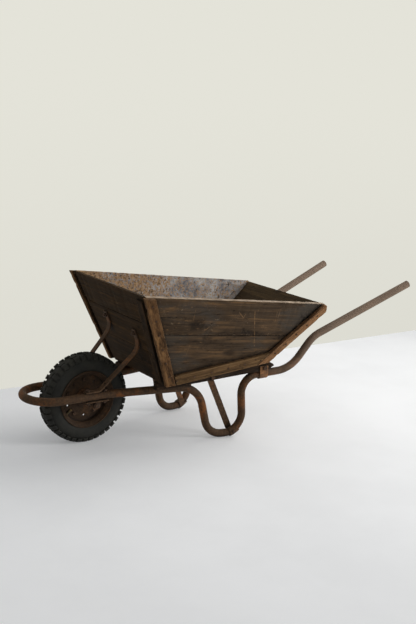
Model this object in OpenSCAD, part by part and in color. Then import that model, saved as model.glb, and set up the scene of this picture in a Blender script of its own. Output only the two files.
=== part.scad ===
// Timber wheelbarrow on a bent tube frame.
// X runs from the wheel (-X) to the grips (+X), Y across, Z up; the left side is at -Y.
// Each piece is drawn with x = 0 over the wheel axle and then shifted by origin_x,
// which puts the origin on the ground under the middle of the whole barrow.

/* [Wheel] */
// Outside diameter of the tyre over its lugs
tyre_od = 370; // [330:1:420]
// Width of the tyre at its widest
tyre_w = 84; // [74:1:100]
// Height of the tread lugs
lug_h = 6; // [3:0.5:9]
// Number of lugs along each shoulder
lug_count = 40; // [24:1:48]
// Thickness of the tyre carcass
carcass_t = 7; // [5:0.5:10]
// Outside diameter of the rolled rim lip
rim_od = 239; // [220:1:250]
// Diameter of the bead seat of the rim
seat_d = 206; // [196:1:212]
// Sheet thickness of the rim halves
rim_t = 2.8; // [2:0.1:4]
// Pitch circle of the bolts that join the rim halves
rim_pcd = 152; // [130:1:164]
// Number of rim bolts, with as many round holes between them
rim_bolts_n = 5; // [4:1:6]
// Diameter of the round holes between the rim bolts
web_hole_d = 9; // [6:1:20]
// Outside diameter of the hub
hub_d = 46; // [40:1:60]
// Length of the hub
hub_len = 96; // [80:1:110]
// Diameter of the axle
axle_d = 19; // [16:0.5:22]
// Length of each bush inside the hub
bush_len = 28; // [20:1:36]

/* [Frame tube] */
// Outside diameter of the frame tube
tube_od = 33.7; // [30:0.1:38]
// Wall of the frame tube
tube_wall = 3.2; // [2:0.1:4]
// Distance of the tube's underside above the wheel axle
axle_clear = 18.15; // [16.15:0.5:32.15]
// Rise of the front of the frame towards the tray, in degrees
nose_pitch = 1.8; // [0:0.1:3]
// Straight tube ahead of the axle
nose_reach = 151; // [140:1:200]
// Half the distance between the two tubes beside the wheel
nose_half = 106; // [96:1:130]
// Half the distance between the two feet
foot_half = 203; // [190:1:215]
// Half the distance between the two grips
grip_half = 289; // [270:1:310]
// Distance from the axle to the top of the front limb of each leg
leg_front_x = 444; // [435:1:460]
// Distance from the axle to the corner at the front of each foot
foot_front_x = 503; // [495:1:515]
// Distance from the axle to the corner at the back of each foot
foot_rear_x = 669; // [660:1:690]
// Distance from the axle to the top of the rear limb of each leg
leg_rear_x = 640; // [632:1:650]
// Height of the tube's centre line where it runs under the back of the bearers
rear_z = 264; // [258:1:270]
// Distance from the axle to the foot of the rise behind the tray
rise_x = 893; // [880:1:910]
// Height of the tube's centre line at the foot of that rise
rise_z = 283; // [275:1:290]
// Distance from the axle to the top of the rise
arm_x = 1001; // [990:1:1015]
// Height of the tube's centre line at the top of the rise
arm_z = 424; // [410:1:440]
// Distance from the axle to the end of each grip
grip_x = 1519; // [1400:1:1650]
// Height of the end of each grip
grip_z = 650; // [600:1:700]

/* [Tray] */
// Distance from the axle to the top front corner of the tray
tray_top_x = 67.5; // [55:0.5:100]
// Height of the top front corner of the tray
tray_top_z = 655.5; // [600:0.5:700]
// Distance from the axle to the lower front corner of the tray
tray_foot_x = 244; // [235:1:255]
// Height of the lower front corner of the tray
tray_foot_z = 267.5; // [260:0.5:275]
// Distance from the axle to the lower back corner of the tray
tray_heel_x = 752; // [740:1:765]
// Height of the lower back corner of the tray
tray_heel_z = 330; // [325:1:340]
// Distance from the axle to the top back corner of the tray
tray_tail_x = 1013; // [980:1:1040]
// Height of the top back corner of the tray
tray_tail_z = 579; // [560:1:600]
// Length of the plumb cut on the top back corner of each side
tail_cut = 30; // [20:1:45]
// Half the width over the side boards at the lower front corner
tray_half = 219.5; // [212:0.5:235]
// Lean of the sides, in degrees from upright
splay = 11.8; // [9:0.1:16]
// Thickness of the boards
board_t = 20; // [16:1:25]
// Thickness of the battens
batten_t = 20; // [12:1:26]
// Width of the front and bottom battens
batten_w = 44; // [36:1:50]
// Width of the rear battens
rear_batten_w = 35; // [28:1:50]
// Distance of the side boards behind the front edge of the front battens
board_setback = 13; // [0:1:20]
// Width of the upper side boards
upper_board_w = 155; // [120:1:180]
// Distance of the front panel behind the front edges of the sides
front_inset = 9; // [6:1:24]
// Distance of the back panel ahead of the back edges of the sides
rear_inset = 6; // [3:1:20]
// Thickness of the cleat down the left end of the front panel
cleat_t = 9; // [5:1:20]
// Width of that cleat
cleat_w = 46; // [30:1:60]
// Width left open between neighbouring boards
board_gap = 1.2; // [0.5:0.1:2.5]
// Distance the bearers run on behind the tray
bearer_tail = 43; // [36:1:70]

/* [Ironwork] */
// Width of the leg struts
strut_w = 28; // [24:1:32]
// Width of the rear clips
clip_w = 40; // [28:1:44]
// Thickness of the leg struts and the rear clips
strap_t = 4; // [3:0.5:5]
// Width of the wheel stays
stay_w = 25; // [20:1:30]
// Thickness of the wheel stays
stay_t = 6; // [5:0.5:8]
// Height of the top of the left wheel stay
stay_top_left = 483; // [476:1:500]
// Height of the top of the right wheel stay
stay_top_right = 514; // [505:1:522]
// Slant of the left wheel stay, in degrees from level
stay_slant_left = 43; // [38:1:46]
// Slant of the right wheel stay, in degrees from level
stay_slant_right = 52; // [46:1:54]
// Diameter of the frame bolts
bolt_d = 10; // [8:1:12]
// Diameter of the nail shanks
nail_d = 3; // [2.5:0.1:3.5]
// Length of the nails
nail_len = 38; // [28:1:45]

/* [Hidden] */
$fn = 48;

LEFT = -1;
RIGHT = 1;
eps = 0.01;
fit_gap = 0.3;      // between curved pieces that seat on each other
seat_gap = 0.1;     // between flat pieces that are bolted together
run_gap = 0.05;     // radial running clearance of the axle in its bushes
far = 2500;         // larger than the barrow, for cutting planes

// ---- colours
rust = "#6b4434";
dark_rust = "#5a3a2e";
oak = "#5b3f2a";
dark_oak = "#33271f";
pale_oak = "#8a6848";
rubber = "#2e302e";
brass = "#8a7645";

// ---- frame tube: centre line of the right half as corners [x, y, z, bend radius]
axle_z = tyre_od / 2;
tube_r = tube_od / 2;
axle_drop = axle_clear + tube_r;
foot_z = tube_r;
draw_down = 0.25;   // how much smaller the tube's radius is in the bends
spread_x = 72;      // the tubes start to spread here
foot_mid_x = (foot_front_x + foot_rear_x) / 2;
function nose_z(x) = axle_z + axle_drop + x * tan(nose_pitch);
function front_y(x) = nose_half + (x - spread_x) * (foot_half - nose_half) / (foot_mid_x - spread_x);
function back_y(x) = foot_half + (x - foot_mid_x) * (grip_half - foot_half) / (grip_x - foot_mid_x);
PATH = [
    [-nose_reach, nose_half, nose_z(-nose_reach), 0],
    [spread_x, nose_half, nose_z(spread_x), 180],
    [leg_front_x, front_y(leg_front_x), nose_z(leg_front_x), 108],
    [foot_front_x, front_y(foot_front_x), foot_z, 81],
    [foot_rear_x, back_y(foot_rear_x), foot_z, 79],
    [leg_rear_x, back_y(leg_rear_x), rear_z, 76],
    [rise_x, back_y(rise_x), rise_z, 150],
    [arm_x, back_y(arm_x), arm_z, 137],
    [grip_x, grip_half, grip_z, 0]];
LAST = len(PATH) - 1;

function unit(v) = v / norm(v);
function at(i) = [PATH[i][0], PATH[i][1], PATH[i][2]];
function heading(i) = unit(at(i + 1) - at(i));
function turn(i) = acos(heading(i - 1) * heading(i));
function setback(i) = (i == 0 || i == LAST) ? 0 : PATH[i][3] * tan(turn(i) / 2);
function bend_in(i) = at(i) - heading(i - 1) * setback(i);
function leg_start(i) = at(i) + heading(i) * setback(i);
function leg_end(i) = at(i + 1) - heading(i) * setback(i + 1);
function bend_normal(i) = unit(cross(heading(i - 1), heading(i)));
function bend_centre(i) = bend_in(i) + PATH[i][3] * cross(bend_normal(i), heading(i - 1));

// Overall length, for the origin under the middle of the barrow
grip_lean = norm([heading(LAST - 1)[1], heading(LAST - 1)[2]]);
front_end = -nose_reach - nose_half * cos(nose_pitch) - tube_r;
back_end = grip_x + tube_r * grip_lean;
origin_x = -(front_end + back_end) / 2;

// ---- tray planes: outer face of the side boards, and lines of the side outline
tan_s = tan(splay);
function side_y(z) = tray_half + (z - tray_foot_z) * tan_s;
function slant(z) = (z - tray_foot_z) / cos(splay);
skin = board_t / cos(splay);       // a board measured level across
front_run = (tray_top_x - tray_foot_x) / (tray_top_z - tray_foot_z);
front_angle = atan2(tray_top_z - tray_foot_z, tray_top_x - tray_foot_x);
rear_low_z = tray_tail_z - tail_cut;
rear_angle = atan2(rear_low_z - tray_heel_z, tray_tail_x - tray_heel_x);
SIDE = [[tray_foot_x, tray_foot_z], [tray_heel_x, tray_heel_z], [tray_tail_x, rear_low_z],
    [tray_tail_x, tray_tail_z], [tray_top_x, tray_top_z]];

// ---- leg struts: the lower end wraps the tube on the bend behind the foot
FOOT_BEND = 4;
strap_turn = 26;    // where the strap sits on that bend, in degrees past its start
clip_r = tube_r + fit_gap;
strap_r = clip_r - draw_down;
bend_r = PATH[FOOT_BEND][3];
strap_half = asin(strut_w / 2 / bend_r);
strap_past = 20;    // how far the strap runs on past the strut, in degrees
strap_lug = 4;      // length of the flat bar past the tube's centre
strap_bar_t = strap_t - 0.7;
strap_open = 25;    // how far the strap stops short of the inboard side, in degrees
strap_dir = cos(strap_turn) * unit(bend_in(FOOT_BEND) - bend_centre(FOOT_BEND))
    + sin(strap_turn) * heading(FOOT_BEND - 1);
strap_at = bend_centre(FOOT_BEND) + bend_r * strap_dir;
floor_run = (tray_heel_z - tray_foot_z) / (tray_heel_x - tray_foot_x);
function floor_under(x) = tray_foot_z + (x - tray_foot_x) * floor_run;
// Length lost at the strut's top, so that its higher corner stays under the floor boards
strut_clear = 1 + strut_w / 2 * tan(strap_turn + atan(floor_run));
strut_len = -strut_clear
    + (floor_under(strap_at[0]) - strap_at[2]) / (floor_run * strap_dir[0] - strap_dir[2]);
strut_bolt_at = strut_len - 15;
strut_face = strap_at - strut_bolt_at * strap_dir + clip_r * bend_normal(FOOT_BEND);

// ---- bearers and clips: the bearers lie over the tubes and against the struts
clip_x = 745;
clip_y = back_y(clip_x);
clip_z = rear_z + (clip_x - leg_rear_x) * (rise_z - rear_z) / (rise_x - leg_rear_x);
clip_ease = 0.5;     // further room in the clips, because the bearers toe out more than the tubes
clip_in = clip_r + clip_ease;
clip_leg_h = 38;
clip_bolt_h = 29;
clip_pitch = atan2(rise_z - rear_z, rise_x - leg_rear_x);    // slope of the tube there
bearer_w = 2 * (clip_r - seat_gap);
bearer_toe = atan2(clip_y - bearer_w / 2 - strut_face[1] - fit_gap, clip_x - strut_face[0]);
bearer_front_x = tray_foot_x - 6;
bearer_back_x = tray_heel_x + bearer_tail;
tail_run = 30;      // length of the slanting cut under each bearer's tail
tip_h = 15;         // height of the tail's tip above the underside's line
tip_bevel = 9;
toe_drop = 6;       // fall of the bearer's top ahead of the tray
rest_x = leg_front_x - setback(2);      // where the front of each bearer sits on the tube
under_pitch = atan2(clip_z - nose_z(rest_x), clip_x - rest_x);
function under_z(x) = clip_z + tube_r + fit_gap - (clip_x - x) * tan(under_pitch);
function along_bearer(p) = (p[0] - clip_x) * cos(bearer_toe) + (p[1] - clip_y) * sin(bearer_toe);

// ---- wheel ironwork
bracket_y = nose_half;
bracket_plate_t = 5;
bracket_len = 100;
bracket_w = 32;
bolt_pitch = 74;
lobe_r = 21;        // round lower end of each bracket
rivet_d = 8;
rivet_dome = 4.5;
rivet_tail = 2;
rivet_hole = rivet_d + 0.2;
bolt_hole = bolt_d + 0.6;
head_af = 1.7 * bolt_d;
head_h = 0.65 * bolt_d;
nut_h = 0.8 * bolt_d;
bolt_end = 4;       // how far a bolt stands out of its nut

// ================= helpers =================

// Moves a piece from the axle frame to the barrow's origin
module placed() translate([origin_x, 0, 0]) children();

// Mirrors a piece drawn on the right to the given side
module on(side) mirror([0, side == LEFT ? 1 : 0, 0]) children();

// Stands children, drawn up +Z, along a direction from a point
module along(p, d) translate(p) rotate([0, acos(d[2] / norm(d)), atan2(d[1], d[0])]) children();

// Puts children in the frame of one tube bend: X outwards, Y ahead at its start, Z its axis
module in_bend(i) {
    c = bend_centre(i);
    x = unit(bend_in(i) - c);
    y = heading(i - 1);
    z = bend_normal(i);
    multmatrix([[x[0], y[0], z[0], c[0]], [x[1], y[1], z[1], c[1]],
        [x[2], y[2], z[2], c[2]], [0, 0, 0, 1]]) children();
}

// One half of the tube as a solid bar; bending draws the tube down a little, so the straights
// lap over the ends of the bends
lap = 1.2;
module tube_half(r, past = 0) {
    for (i = [0:LAST - 1])
        along(leg_start(i) - lap * heading(i), heading(i)) cylinder(r = r,
            h = norm(leg_end(i) - leg_start(i)) + lap + (i == LAST - 1 ? past : lap));
    for (i = [1:LAST - 1])
        in_bend(i) rotate_extrude(angle = turn(i)) translate([PATH[i][3], 0]) circle(r - draw_down);
}

// Half ring at the nose
module tube_nose(r)
    translate(at(0) - [0, nose_half, 0]) rotate([0, -nose_pitch, 0]) rotate([0, 0, 90])
        rotate_extrude(angle = 180) translate([nose_half, 0]) circle(r - draw_down);

// Children stood at the two places of the bracket bolts, upright to the tube
module bracket_bolt_places()
    translate([0, nose_half, nose_z(0)]) rotate([0, -nose_pitch, 0])
        for (s = [-1, 1]) translate([s * bolt_pitch / 2, 0, 0]) children();

// Hexagon across flats
module hex(af, h) cylinder(d = af / cos(30), h = h, $fn = 6);

// Hexagon-headed bolt down -Z, with its head on z = 0
module hex_bolt(d, len) {
    hex(1.7 * d, 0.65 * d);
    translate([0, 0, -len]) cylinder(d = d, h = len + eps);
}

// Nut with its lower face on z = 0
module nut(d) difference() {
    hex(1.7 * d, 0.8 * d);
    translate([0, 0, -1]) cylinder(d = d + 0.1, h = 0.8 * d + 2);
}

// Flat bar along corners [x, z, bend radius], its face on the line and its thickness above it
function bar_heading(c, i) = unit([c[i + 1][0] - c[i][0], c[i + 1][1] - c[i][1]]);
function bar_turn(c, i) = let(a = bar_heading(c, i - 1), b = bar_heading(c, i))
    atan2(a[0] * b[1] - a[1] * b[0], a * b);
function bar_centre(c, i) = let(a = bar_heading(c, i - 1), t = bar_turn(c, i), s = sign(t))
    [c[i][0], c[i][1]] - a * c[i][2] * tan(abs(t) / 2) + s * c[i][2] * [-a[1], a[0]];
function bar_arc(c, i, off, steps) = let(a = bar_heading(c, i - 1), t = bar_turn(c, i), s = sign(t),
        r = c[i][2] - s * off, p = bar_centre(c, i))
    [for (k = [0:steps]) let(q = k * t / steps)
        p - s * r * [-a[1] * cos(q) - a[0] * sin(q), a[0] * cos(q) - a[1] * sin(q)]];
function bar_side(c, off, steps) = let(n = len(c) - 1, a = bar_heading(c, 0), b = bar_heading(c, n - 1))
    concat([[c[0][0], c[0][1]] + off * [-a[1], a[0]]],
        [for (i = [1:n - 1]) each bar_arc(c, i, off, steps)],
        [[c[n][0], c[n][1]] + off * [-b[1], b[0]]]);
module bar_outline(c, t, steps = 8) {
    low = bar_side(c, 0, steps);
    high = bar_side(c, t, steps);
    polygon(concat(low, [for (i = [len(high) - 1:-1:0]) high[i]]));
}

// Outline drawn in X and Z, made w wide across Y about the middle
module across(w) rotate([90, 0, 0]) linear_extrude(height = w, center = true) children();

// ================= frame =================

module frame_tube() color(rust) difference() {
    union() {
        tube_nose(tube_r);
        for (side = [LEFT, RIGHT]) on(side) tube_half(tube_r);
    }
    tube_nose(tube_r - tube_wall);
    for (side = [LEFT, RIGHT]) on(side) {
        tube_half(tube_r - tube_wall, past = tube_wall);
        bracket_bolt_places() cylinder(d = bolt_hole, h = 2 * tube_od, center = true);
        rivet_place() translate([0, 0, tube_r - 2 * tube_wall]) cylinder(d = rivet_hole, h = tube_r);
    }
}

// Frame of the foot strap: X towards the strut's lower end, Y along the tube, Z outboard
module strap_place() in_bend(FOOT_BEND) rotate([0, 0, strap_turn]) translate([bend_r, 0, 0]) children();
module rivet_place() strap_place() rotate([180, 0, 0]) children();

module leg_strut(side) color(rust) on(side) difference() {
    union() {
        strap_place() translate([-strut_len, -strut_w / 2, clip_r + seat_gap])
            cube([strut_len + strap_lug, strut_w, strap_bar_t]);
        in_bend(FOOT_BEND) rotate([0, 0, strap_turn - strap_half])
            rotate_extrude(angle = strap_half + strap_past) translate([bend_r, 0]) difference() {
                circle(strap_r + strap_t);
                circle(strap_r);
                polygon(bend_r / 2 * [[0, 0], [0, 1], [-1, 1], [-1, -tan(strap_open)]]);
            }
    }
    rivet_place() cylinder(d = rivet_hole, h = tube_od);
    strap_place() translate([-strut_bolt_at, 0, 0]) cylinder(d = bolt_hole, h = tube_od);
}

// Rivet through the strap and the tube's wall
module foot_rivets() color(dark_rust) for (side = [LEFT, RIGHT]) on(side) rivet_place() {
    translate([0, 0, tube_r - tube_wall - rivet_tail])
        cylinder(d = rivet_d, h = strap_t + tube_wall + 2 * rivet_tail);
    translate([0, 0, strap_r + strap_t]) difference() {
        translate([0, 0, rivet_dome - rivet_d]) sphere(r = rivet_d);
        translate([0, 0, -far / 2]) cube(far, center = true);
    }
}

// Frame of a bearer: X along it, Y across, from the clip; Z stays the barrow's height
module bearer_frame() translate([clip_x, clip_y, 0]) rotate([0, 0, bearer_toe]) children();
strut_bolt_x = along_bearer(strut_face);
strut_bolt_len = bearer_w + strap_t + fit_gap + nut_h + bolt_end;

// Place of the bolt that holds a strut to its bearer, pointing inboard
module strut_bolt_place() bearer_frame()
    translate([strut_bolt_x, 0, strut_face[2]]) rotate([90, 0, 0]) children();

// Place of the bolt through a clip and its bearer, pointing inboard
module clip_bolt_place() bearer_frame() translate([0, 0, clip_z + clip_bolt_h]) rotate([90, 0, 0]) children();

// Straight channels for the tube where a bearer lies on it, run on a little past the bends
house_run = 60;
module tube_housing() for (i = [1, 5]) along(leg_start(i) - house_run * heading(i), heading(i))
    cylinder(r = tube_r + fit_gap, h = norm(leg_end(i) - leg_start(i)) + 2 * house_run);

module bearer(side) color(dark_oak) on(side) difference() {
    bearer_frame() translate([-clip_x, 0, 0]) across(bearer_w) polygon([
        [bearer_front_x, under_z(bearer_front_x)],
        [bearer_back_x - tail_run, under_z(bearer_back_x - tail_run)],
        [bearer_back_x, under_z(bearer_back_x) + tip_h],
        [bearer_back_x - tip_bevel, under_z(bearer_back_x) + tip_h + tip_bevel],
        [tray_heel_x + 3, tray_heel_z - seat_gap],
        [tray_foot_x, tray_foot_z - seat_gap], [bearer_front_x, tray_foot_z - toe_drop]]);
    tube_housing();
    strut_bolt_place() cylinder(d = bolt_hole, h = far / 10, center = true);
    clip_bolt_place() cylinder(d = bolt_hole, h = far / 10, center = true);
}

// Bolts through the bearers, each with its nut inboard
module strut_bolts() color(dark_rust) for (side = [LEFT, RIGHT]) on(side) strut_bolt_place() {
    translate([0, 0, -bearer_w / 2 - seat_gap]) mirror([0, 0, 1]) hex_bolt(bolt_d, strut_bolt_len);
    translate([0, 0, bearer_w / 2 + strap_t]) nut(bolt_d);
}

// Clip under the tube with a leg up each face of the bearer
module rear_clip(side) color(rust) on(side) difference() {
    bearer_frame() translate([0, 0, clip_z]) rotate([0, -clip_pitch, 0]) rotate([90, 0, 90])
        linear_extrude(height = clip_w, center = true) polygon(concat(
            [[-clip_in - strap_t, clip_leg_h]],
            [for (a = [180:10:360]) (clip_in + strap_t) * [cos(a), sin(a)]],
            [[clip_in + strap_t, clip_leg_h], [clip_in, clip_leg_h]],
            [for (a = [360:-10:180]) clip_in * [cos(a), sin(a)]],
            [[-clip_in, clip_leg_h]]));
    clip_bolt_place() cylinder(d = bolt_hole, h = far / 10, center = true);
}

module clip_bolts() color(dark_rust) for (side = [LEFT, RIGHT]) on(side) clip_bolt_place() {
    translate([0, 0, -clip_in - strap_t - seat_gap]) mirror([0, 0, 1])
        hex_bolt(bolt_d, 2 * (clip_in + strap_t) + nut_h + bolt_end);
    translate([0, 0, clip_in + strap_t + seat_gap]) nut(bolt_d);
}

// ================= wheel carriers and stays =================

// Outline of the plate that hangs from a bracket's flange, round at its lower end
module lobe() {
    circle(lobe_r);
    translate([1 - lobe_r, 0]) square([2 * lobe_r - 2, lobe_r]);
}

// Flange under the tube with a round-ended plate that carries the axle
module axle_bracket(side) color(rust) on(side) difference() {
    union() {
        translate([0, nose_half, nose_z(0)]) rotate([0, -nose_pitch, 0])
            translate([-bracket_len / 2, -bracket_w / 2, -tube_r - seat_gap - bracket_plate_t])
                cube([bracket_len, bracket_w, bracket_plate_t]);
        translate([0, nose_half, axle_z]) across(bracket_plate_t) intersection() {
            lobe();
            translate([-lobe_r, -lobe_r - 1]) square([2 * lobe_r, lobe_r + 1 + axle_drop - tube_r - 3]);
        }
    }
    bracket_bolt_places() cylinder(d = bolt_hole, h = 4 * tube_od, center = true);
    translate([0, 0, axle_z]) rotate([-90, 0, 0]) cylinder(d = thread_d + 0.2, h = far);
}

// The front bolt of each pair also holds the foot of the stay
function bolt_top(i) = tube_r + seat_gap + (i == 0 ? stay_t + seat_gap : 0);
bracket_low = tube_r + 2 * seat_gap + bracket_plate_t;
module bracket_bolts() color(dark_rust) for (side = [LEFT, RIGHT]) on(side)
    translate([0, nose_half, nose_z(0)]) rotate([0, -nose_pitch, 0]) for (i = [0, 1])
        translate([(i - 0.5) * bolt_pitch, 0, bolt_top(i)])
            hex_bolt(bolt_d, bolt_top(i) + bracket_low + nut_h + bolt_end);
module bracket_nuts() color(dark_rust) for (side = [LEFT, RIGHT]) on(side)
    bracket_bolt_places() translate([0, 0, -bracket_low]) mirror([0, 0, 1]) nut(bolt_d);

// Panel's outer face at height z
panel_out = front_inset / sin(front_angle);
function panel_x(z) = tray_foot_x + (z - tray_foot_z) * front_run + panel_out;
stay_bend = 60;
function stay_top(side) = side == LEFT ? stay_top_left : stay_top_right;
function stay_slant(side) = side == LEFT ? stay_slant_left : stay_slant_right;
stay_heel_x = 12;
stay_rest = tube_r + seat_gap;
stay_lay = 0.3;     // gap between a stay and the panel
function stay_low(x) = nose_z(x) + stay_rest / cos(nose_pitch);
// Where the slanting stretch of a stay meets the panel
stay_lift = stay_lay / sin(front_angle);
function stay_meet_x(side) = let(k = tan(stay_slant(side)))
    (panel_x(0) - stay_lift + front_run * (stay_low(stay_heel_x) - k * stay_heel_x)) / (1 - front_run * k);
stay_end = 14;      // from the middle of a bolt to the end of the bar
stay_toe_x = -bolt_pitch / 2 - stay_end;
function stay_line(side) = let(x = stay_meet_x(side))
    [[stay_toe_x, stay_low(stay_toe_x), 0], [stay_heel_x, stay_low(stay_heel_x), stay_bend / 2],
        [x, stay_low(stay_heel_x) + (x - stay_heel_x) * tan(stay_slant(side)), stay_bend],
        [panel_x(stay_top(side)) - stay_lift, stay_top(side), 0]];
function stay_bolt_z(side) = stay_top(side) - stay_end;

// Place of a stay's upper bolt on the panel's outer face, pointing into the tray
module stay_bolt_place(side) translate([panel_x(stay_bolt_z(side)), nose_half, stay_bolt_z(side)])
    rotate([0, 180 - front_angle, 0]) children();

module wheel_stay(side) color(rust) on(side) difference() {
    translate([0, nose_half, 0]) across(stay_w) bar_outline(stay_line(side), stay_t);
    bracket_bolt_places() cylinder(d = bolt_hole, h = 4 * tube_od, center = true);
    stay_bolt_place(side) cylinder(d = bolt_hole, h = 4 * board_t, center = true);
}

// Bolt through the stay and the panel, head inside the tray and nut on the stay
module stay_bolts() color(dark_rust) for (side = [LEFT, RIGHT]) on(side)
    stay_bolt_place(side) {
        translate([0, 0, board_t + seat_gap])
            hex_bolt(bolt_d, board_t + stay_t + stay_lay + 3 * seat_gap + nut_h + bolt_end);
        translate([0, 0, -stay_t - stay_lay - seat_gap]) mirror([0, 0, 1]) nut(bolt_d);
    }

// ================= wheel =================

// Wheel frame: Z along the axle towards the right
module wheel_frame() translate([0, 0, axle_z]) rotate([-90, 0, 0]) children();

crown_r = tyre_od / 2 - lug_h;
round_r = tyre_w / 2;               // the tyre's sides are round about this radius
round_at = crown_r - round_r + 4;   // and this far from the axle
seat_r = seat_d / 2;
lip_gap = 0.3;
bead_t = 6;
bead_r = seat_r + lip_gap;
bead_half = sqrt(round_r * round_r - pow(round_at - bead_r, 2));

module tyre_outer() intersection() {
    translate([round_at, 0]) circle(round_r, $fn = 96);
    translate([bead_r, -tyre_w]) square([crown_r - bead_r, 2 * tyre_w]);
}
module tyre_cavity() {
    translate([round_at, 0]) circle(round_r - carcass_t, $fn = 96);
    translate([bead_r - bead_t, bead_t - bead_half]) square([4 * bead_t, 2 * (bead_half - bead_t)]);
}
lug_step = 360 / lug_count;
lug_in = round_r - 26;              // where the shoulder lugs end, from the middle
lug_root = 3;                       // how far the lugs are sunk into the crown
lug_down = 14;                      // how far the shoulder lugs run down the side
module tyre() color(rubber) wheel_frame() {
    rotate_extrude($fn = 180) difference() {
        tyre_outer();
        tyre_cavity();
    }
    for (s = [-1, 1], i = [0:lug_count - 1]) rotate([0, 0, (i + (s + 1) / 4) * lug_step]) tread_lug(s);
    for (i = [0:lug_count / 2 - 1]) rotate([0, 0, 2 * i * lug_step]) centre_lug();
}

// One shoulder lug: a block that wraps from the tread down the side of the tyre
lug_share = 0.66;   // part of each step that a lug fills
lug_w = lug_share * lug_step * tyre_od / 2 * PI / 180;
module tread_lug(s) mirror([0, 0, s < 0 ? 1 : 0]) rotate([90, 0, 0])
    linear_extrude(height = lug_w, center = true) polygon([
        [crown_r - lug_root, lug_in], [tyre_od / 2, lug_in + 1], [tyre_od / 2 - 1.5, round_r - 15],
        [tyre_od / 2 - 6, round_r - 8], [crown_r - lug_down + 3, round_r - 1],
        [crown_r - lug_down, round_r - 4]]);
module centre_lug() rotate([90, 0, 0]) linear_extrude(height = 1.25 * lug_w, center = true) polygon([
    [crown_r - lug_root, 5 - lug_in], [tyre_od / 2, 6 - lug_in],
    [tyre_od / 2, lug_in - 6], [crown_r - lug_root, lug_in - 5]]);

module inner_tube() color("#1d1d1d") wheel_frame() rotate_extrude($fn = 96) translate([round_at, 0])
    difference() {
        circle(round_r - carcass_t - lip_gap);
        circle(round_r - carcass_t - lip_gap - 2);
    }

// Right half of the rim: web on the middle plane, bead seat and rolled lip
web_gap = 0.1;
lip_r = round_r + lip_gap;
lip_root = 1.5;     // how far the lip laps over the bead seat
roll_r = 2.6;       // rolled edge of the lip
roll_at = lip_r + roll_r + 0.2;
module rim_section() {
    translate([hub_d / 2 + lip_gap, web_gap]) square([seat_r - hub_d / 2 - lip_gap, rim_t]);
    translate([seat_r - rim_t, web_gap]) square([rim_t, bead_half + rim_t]);
    intersection() {
        translate([round_at, 0]) difference() {
            circle(lip_r + rim_t, $fn = 96);
            circle(lip_r, $fn = 96);
        }
        translate([seat_r - lip_root, 0]) square([rim_od / 2 - roll_r - seat_r + lip_root, tyre_w]);
    }
    translate([rim_od / 2 - roll_r, sqrt(roll_at * roll_at - pow(round_at + roll_r - rim_od / 2, 2))])
        circle(roll_r);
}
// Places round the wheel on the rim bolts' pitch circle
bolt_step = 360 / rim_bolts_n;
wheel_turn = 123;   // how far the wheel stands turned from its first bolt
module round_web(offset) for (i = [0:rim_bolts_n - 1])
    rotate([0, 0, wheel_turn + offset + i * bolt_step]) translate([rim_pcd / 2, 0, 0]) children();

module rim_half(side) color(rust) wheel_frame() difference() {
    mirror([0, 0, side == LEFT ? 1 : 0]) rotate_extrude($fn = 120) rim_section();
    round_web(0) cylinder(d = rim_bolt_hole, h = 6 * rim_t, center = true);
    round_web(bolt_step / 2) cylinder(d = web_hole_d, h = 6 * rim_t, center = true);
    if (side == LEFT) valve_place() cylinder(r = valve_r + 0.3, h = 4 * rim_t, center = true);
}

rim_bolt_d = 8;
rim_bolt_hole = rim_bolt_d + 0.6;
rim_bolt_len = 2 * (rim_t + web_gap) + 0.8 * rim_bolt_d + bolt_end;
module rim_bolts() color(dark_rust) wheel_frame() round_web(0)
    translate([0, 0, -rim_t - 2 * web_gap]) mirror([0, 0, 1]) hex_bolt(rim_bolt_d, rim_bolt_len);
module rim_nuts() color(dark_rust) wheel_frame() round_web(0)
    translate([0, 0, rim_t + 2 * web_gap]) nut(rim_bolt_d);

// Valve through the bead seat of the left half, leaning out towards the hub
valve_r = 4;
valve_len = 22;
valve_root = 1.4;   // how far the stem goes in past the bead seat
valve_cap_h = 10;
valve_cap_r = valve_r + 0.6;
valve_off = (web_gap + rim_t + bead_half - bead_t) / 2;     // midway between the web and the bead
module valve_place() rotate([0, 0, wheel_turn + bolt_step / 4])
    translate([seat_r - rim_t, 0, -valve_off]) rotate([0, -90, 0]) children();
module valve_stem() color(brass) wheel_frame() valve_place() {
    translate([0, 0, -rim_t - valve_root]) cylinder(r = valve_r, h = valve_len);
    translate([0, 0, valve_len - rim_t - valve_root - 0.1]) cylinder(r = valve_cap_r, h = valve_cap_h);
}

flange_r = 38;
flange_t = 4;
bush_od = 30;
bush_lip_t = 3;
bush_lip_r = 19;
// Hub tube with a flange against the web of the right rim half
module hub() color(rust) wheel_frame() difference() {
    union() {
        cylinder(d = hub_d, h = hub_len, center = true);
        translate([0, 0, rim_t + 2 * web_gap]) cylinder(r = flange_r, h = flange_t);
        mirror([0, 0, 1]) translate([0, 0, rim_t + 2 * web_gap]) cylinder(r = flange_r, h = flange_t);
    }
    cylinder(d = bush_od + 0.1, h = 2 * hub_len, center = true);
}
module hub_bush(side) color(brass) wheel_frame() mirror([0, 0, side == LEFT ? 1 : 0]) difference() {
    union() {
        translate([0, 0, hub_len / 2 - bush_len]) cylinder(d = bush_od, h = bush_len + 0.1);
        translate([0, 0, hub_len / 2 + 0.1]) cylinder(r = bush_lip_r, h = bush_lip_t);
    }
    cylinder(d = axle_d + 2 * run_gap, h = hub_len);
}

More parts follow.
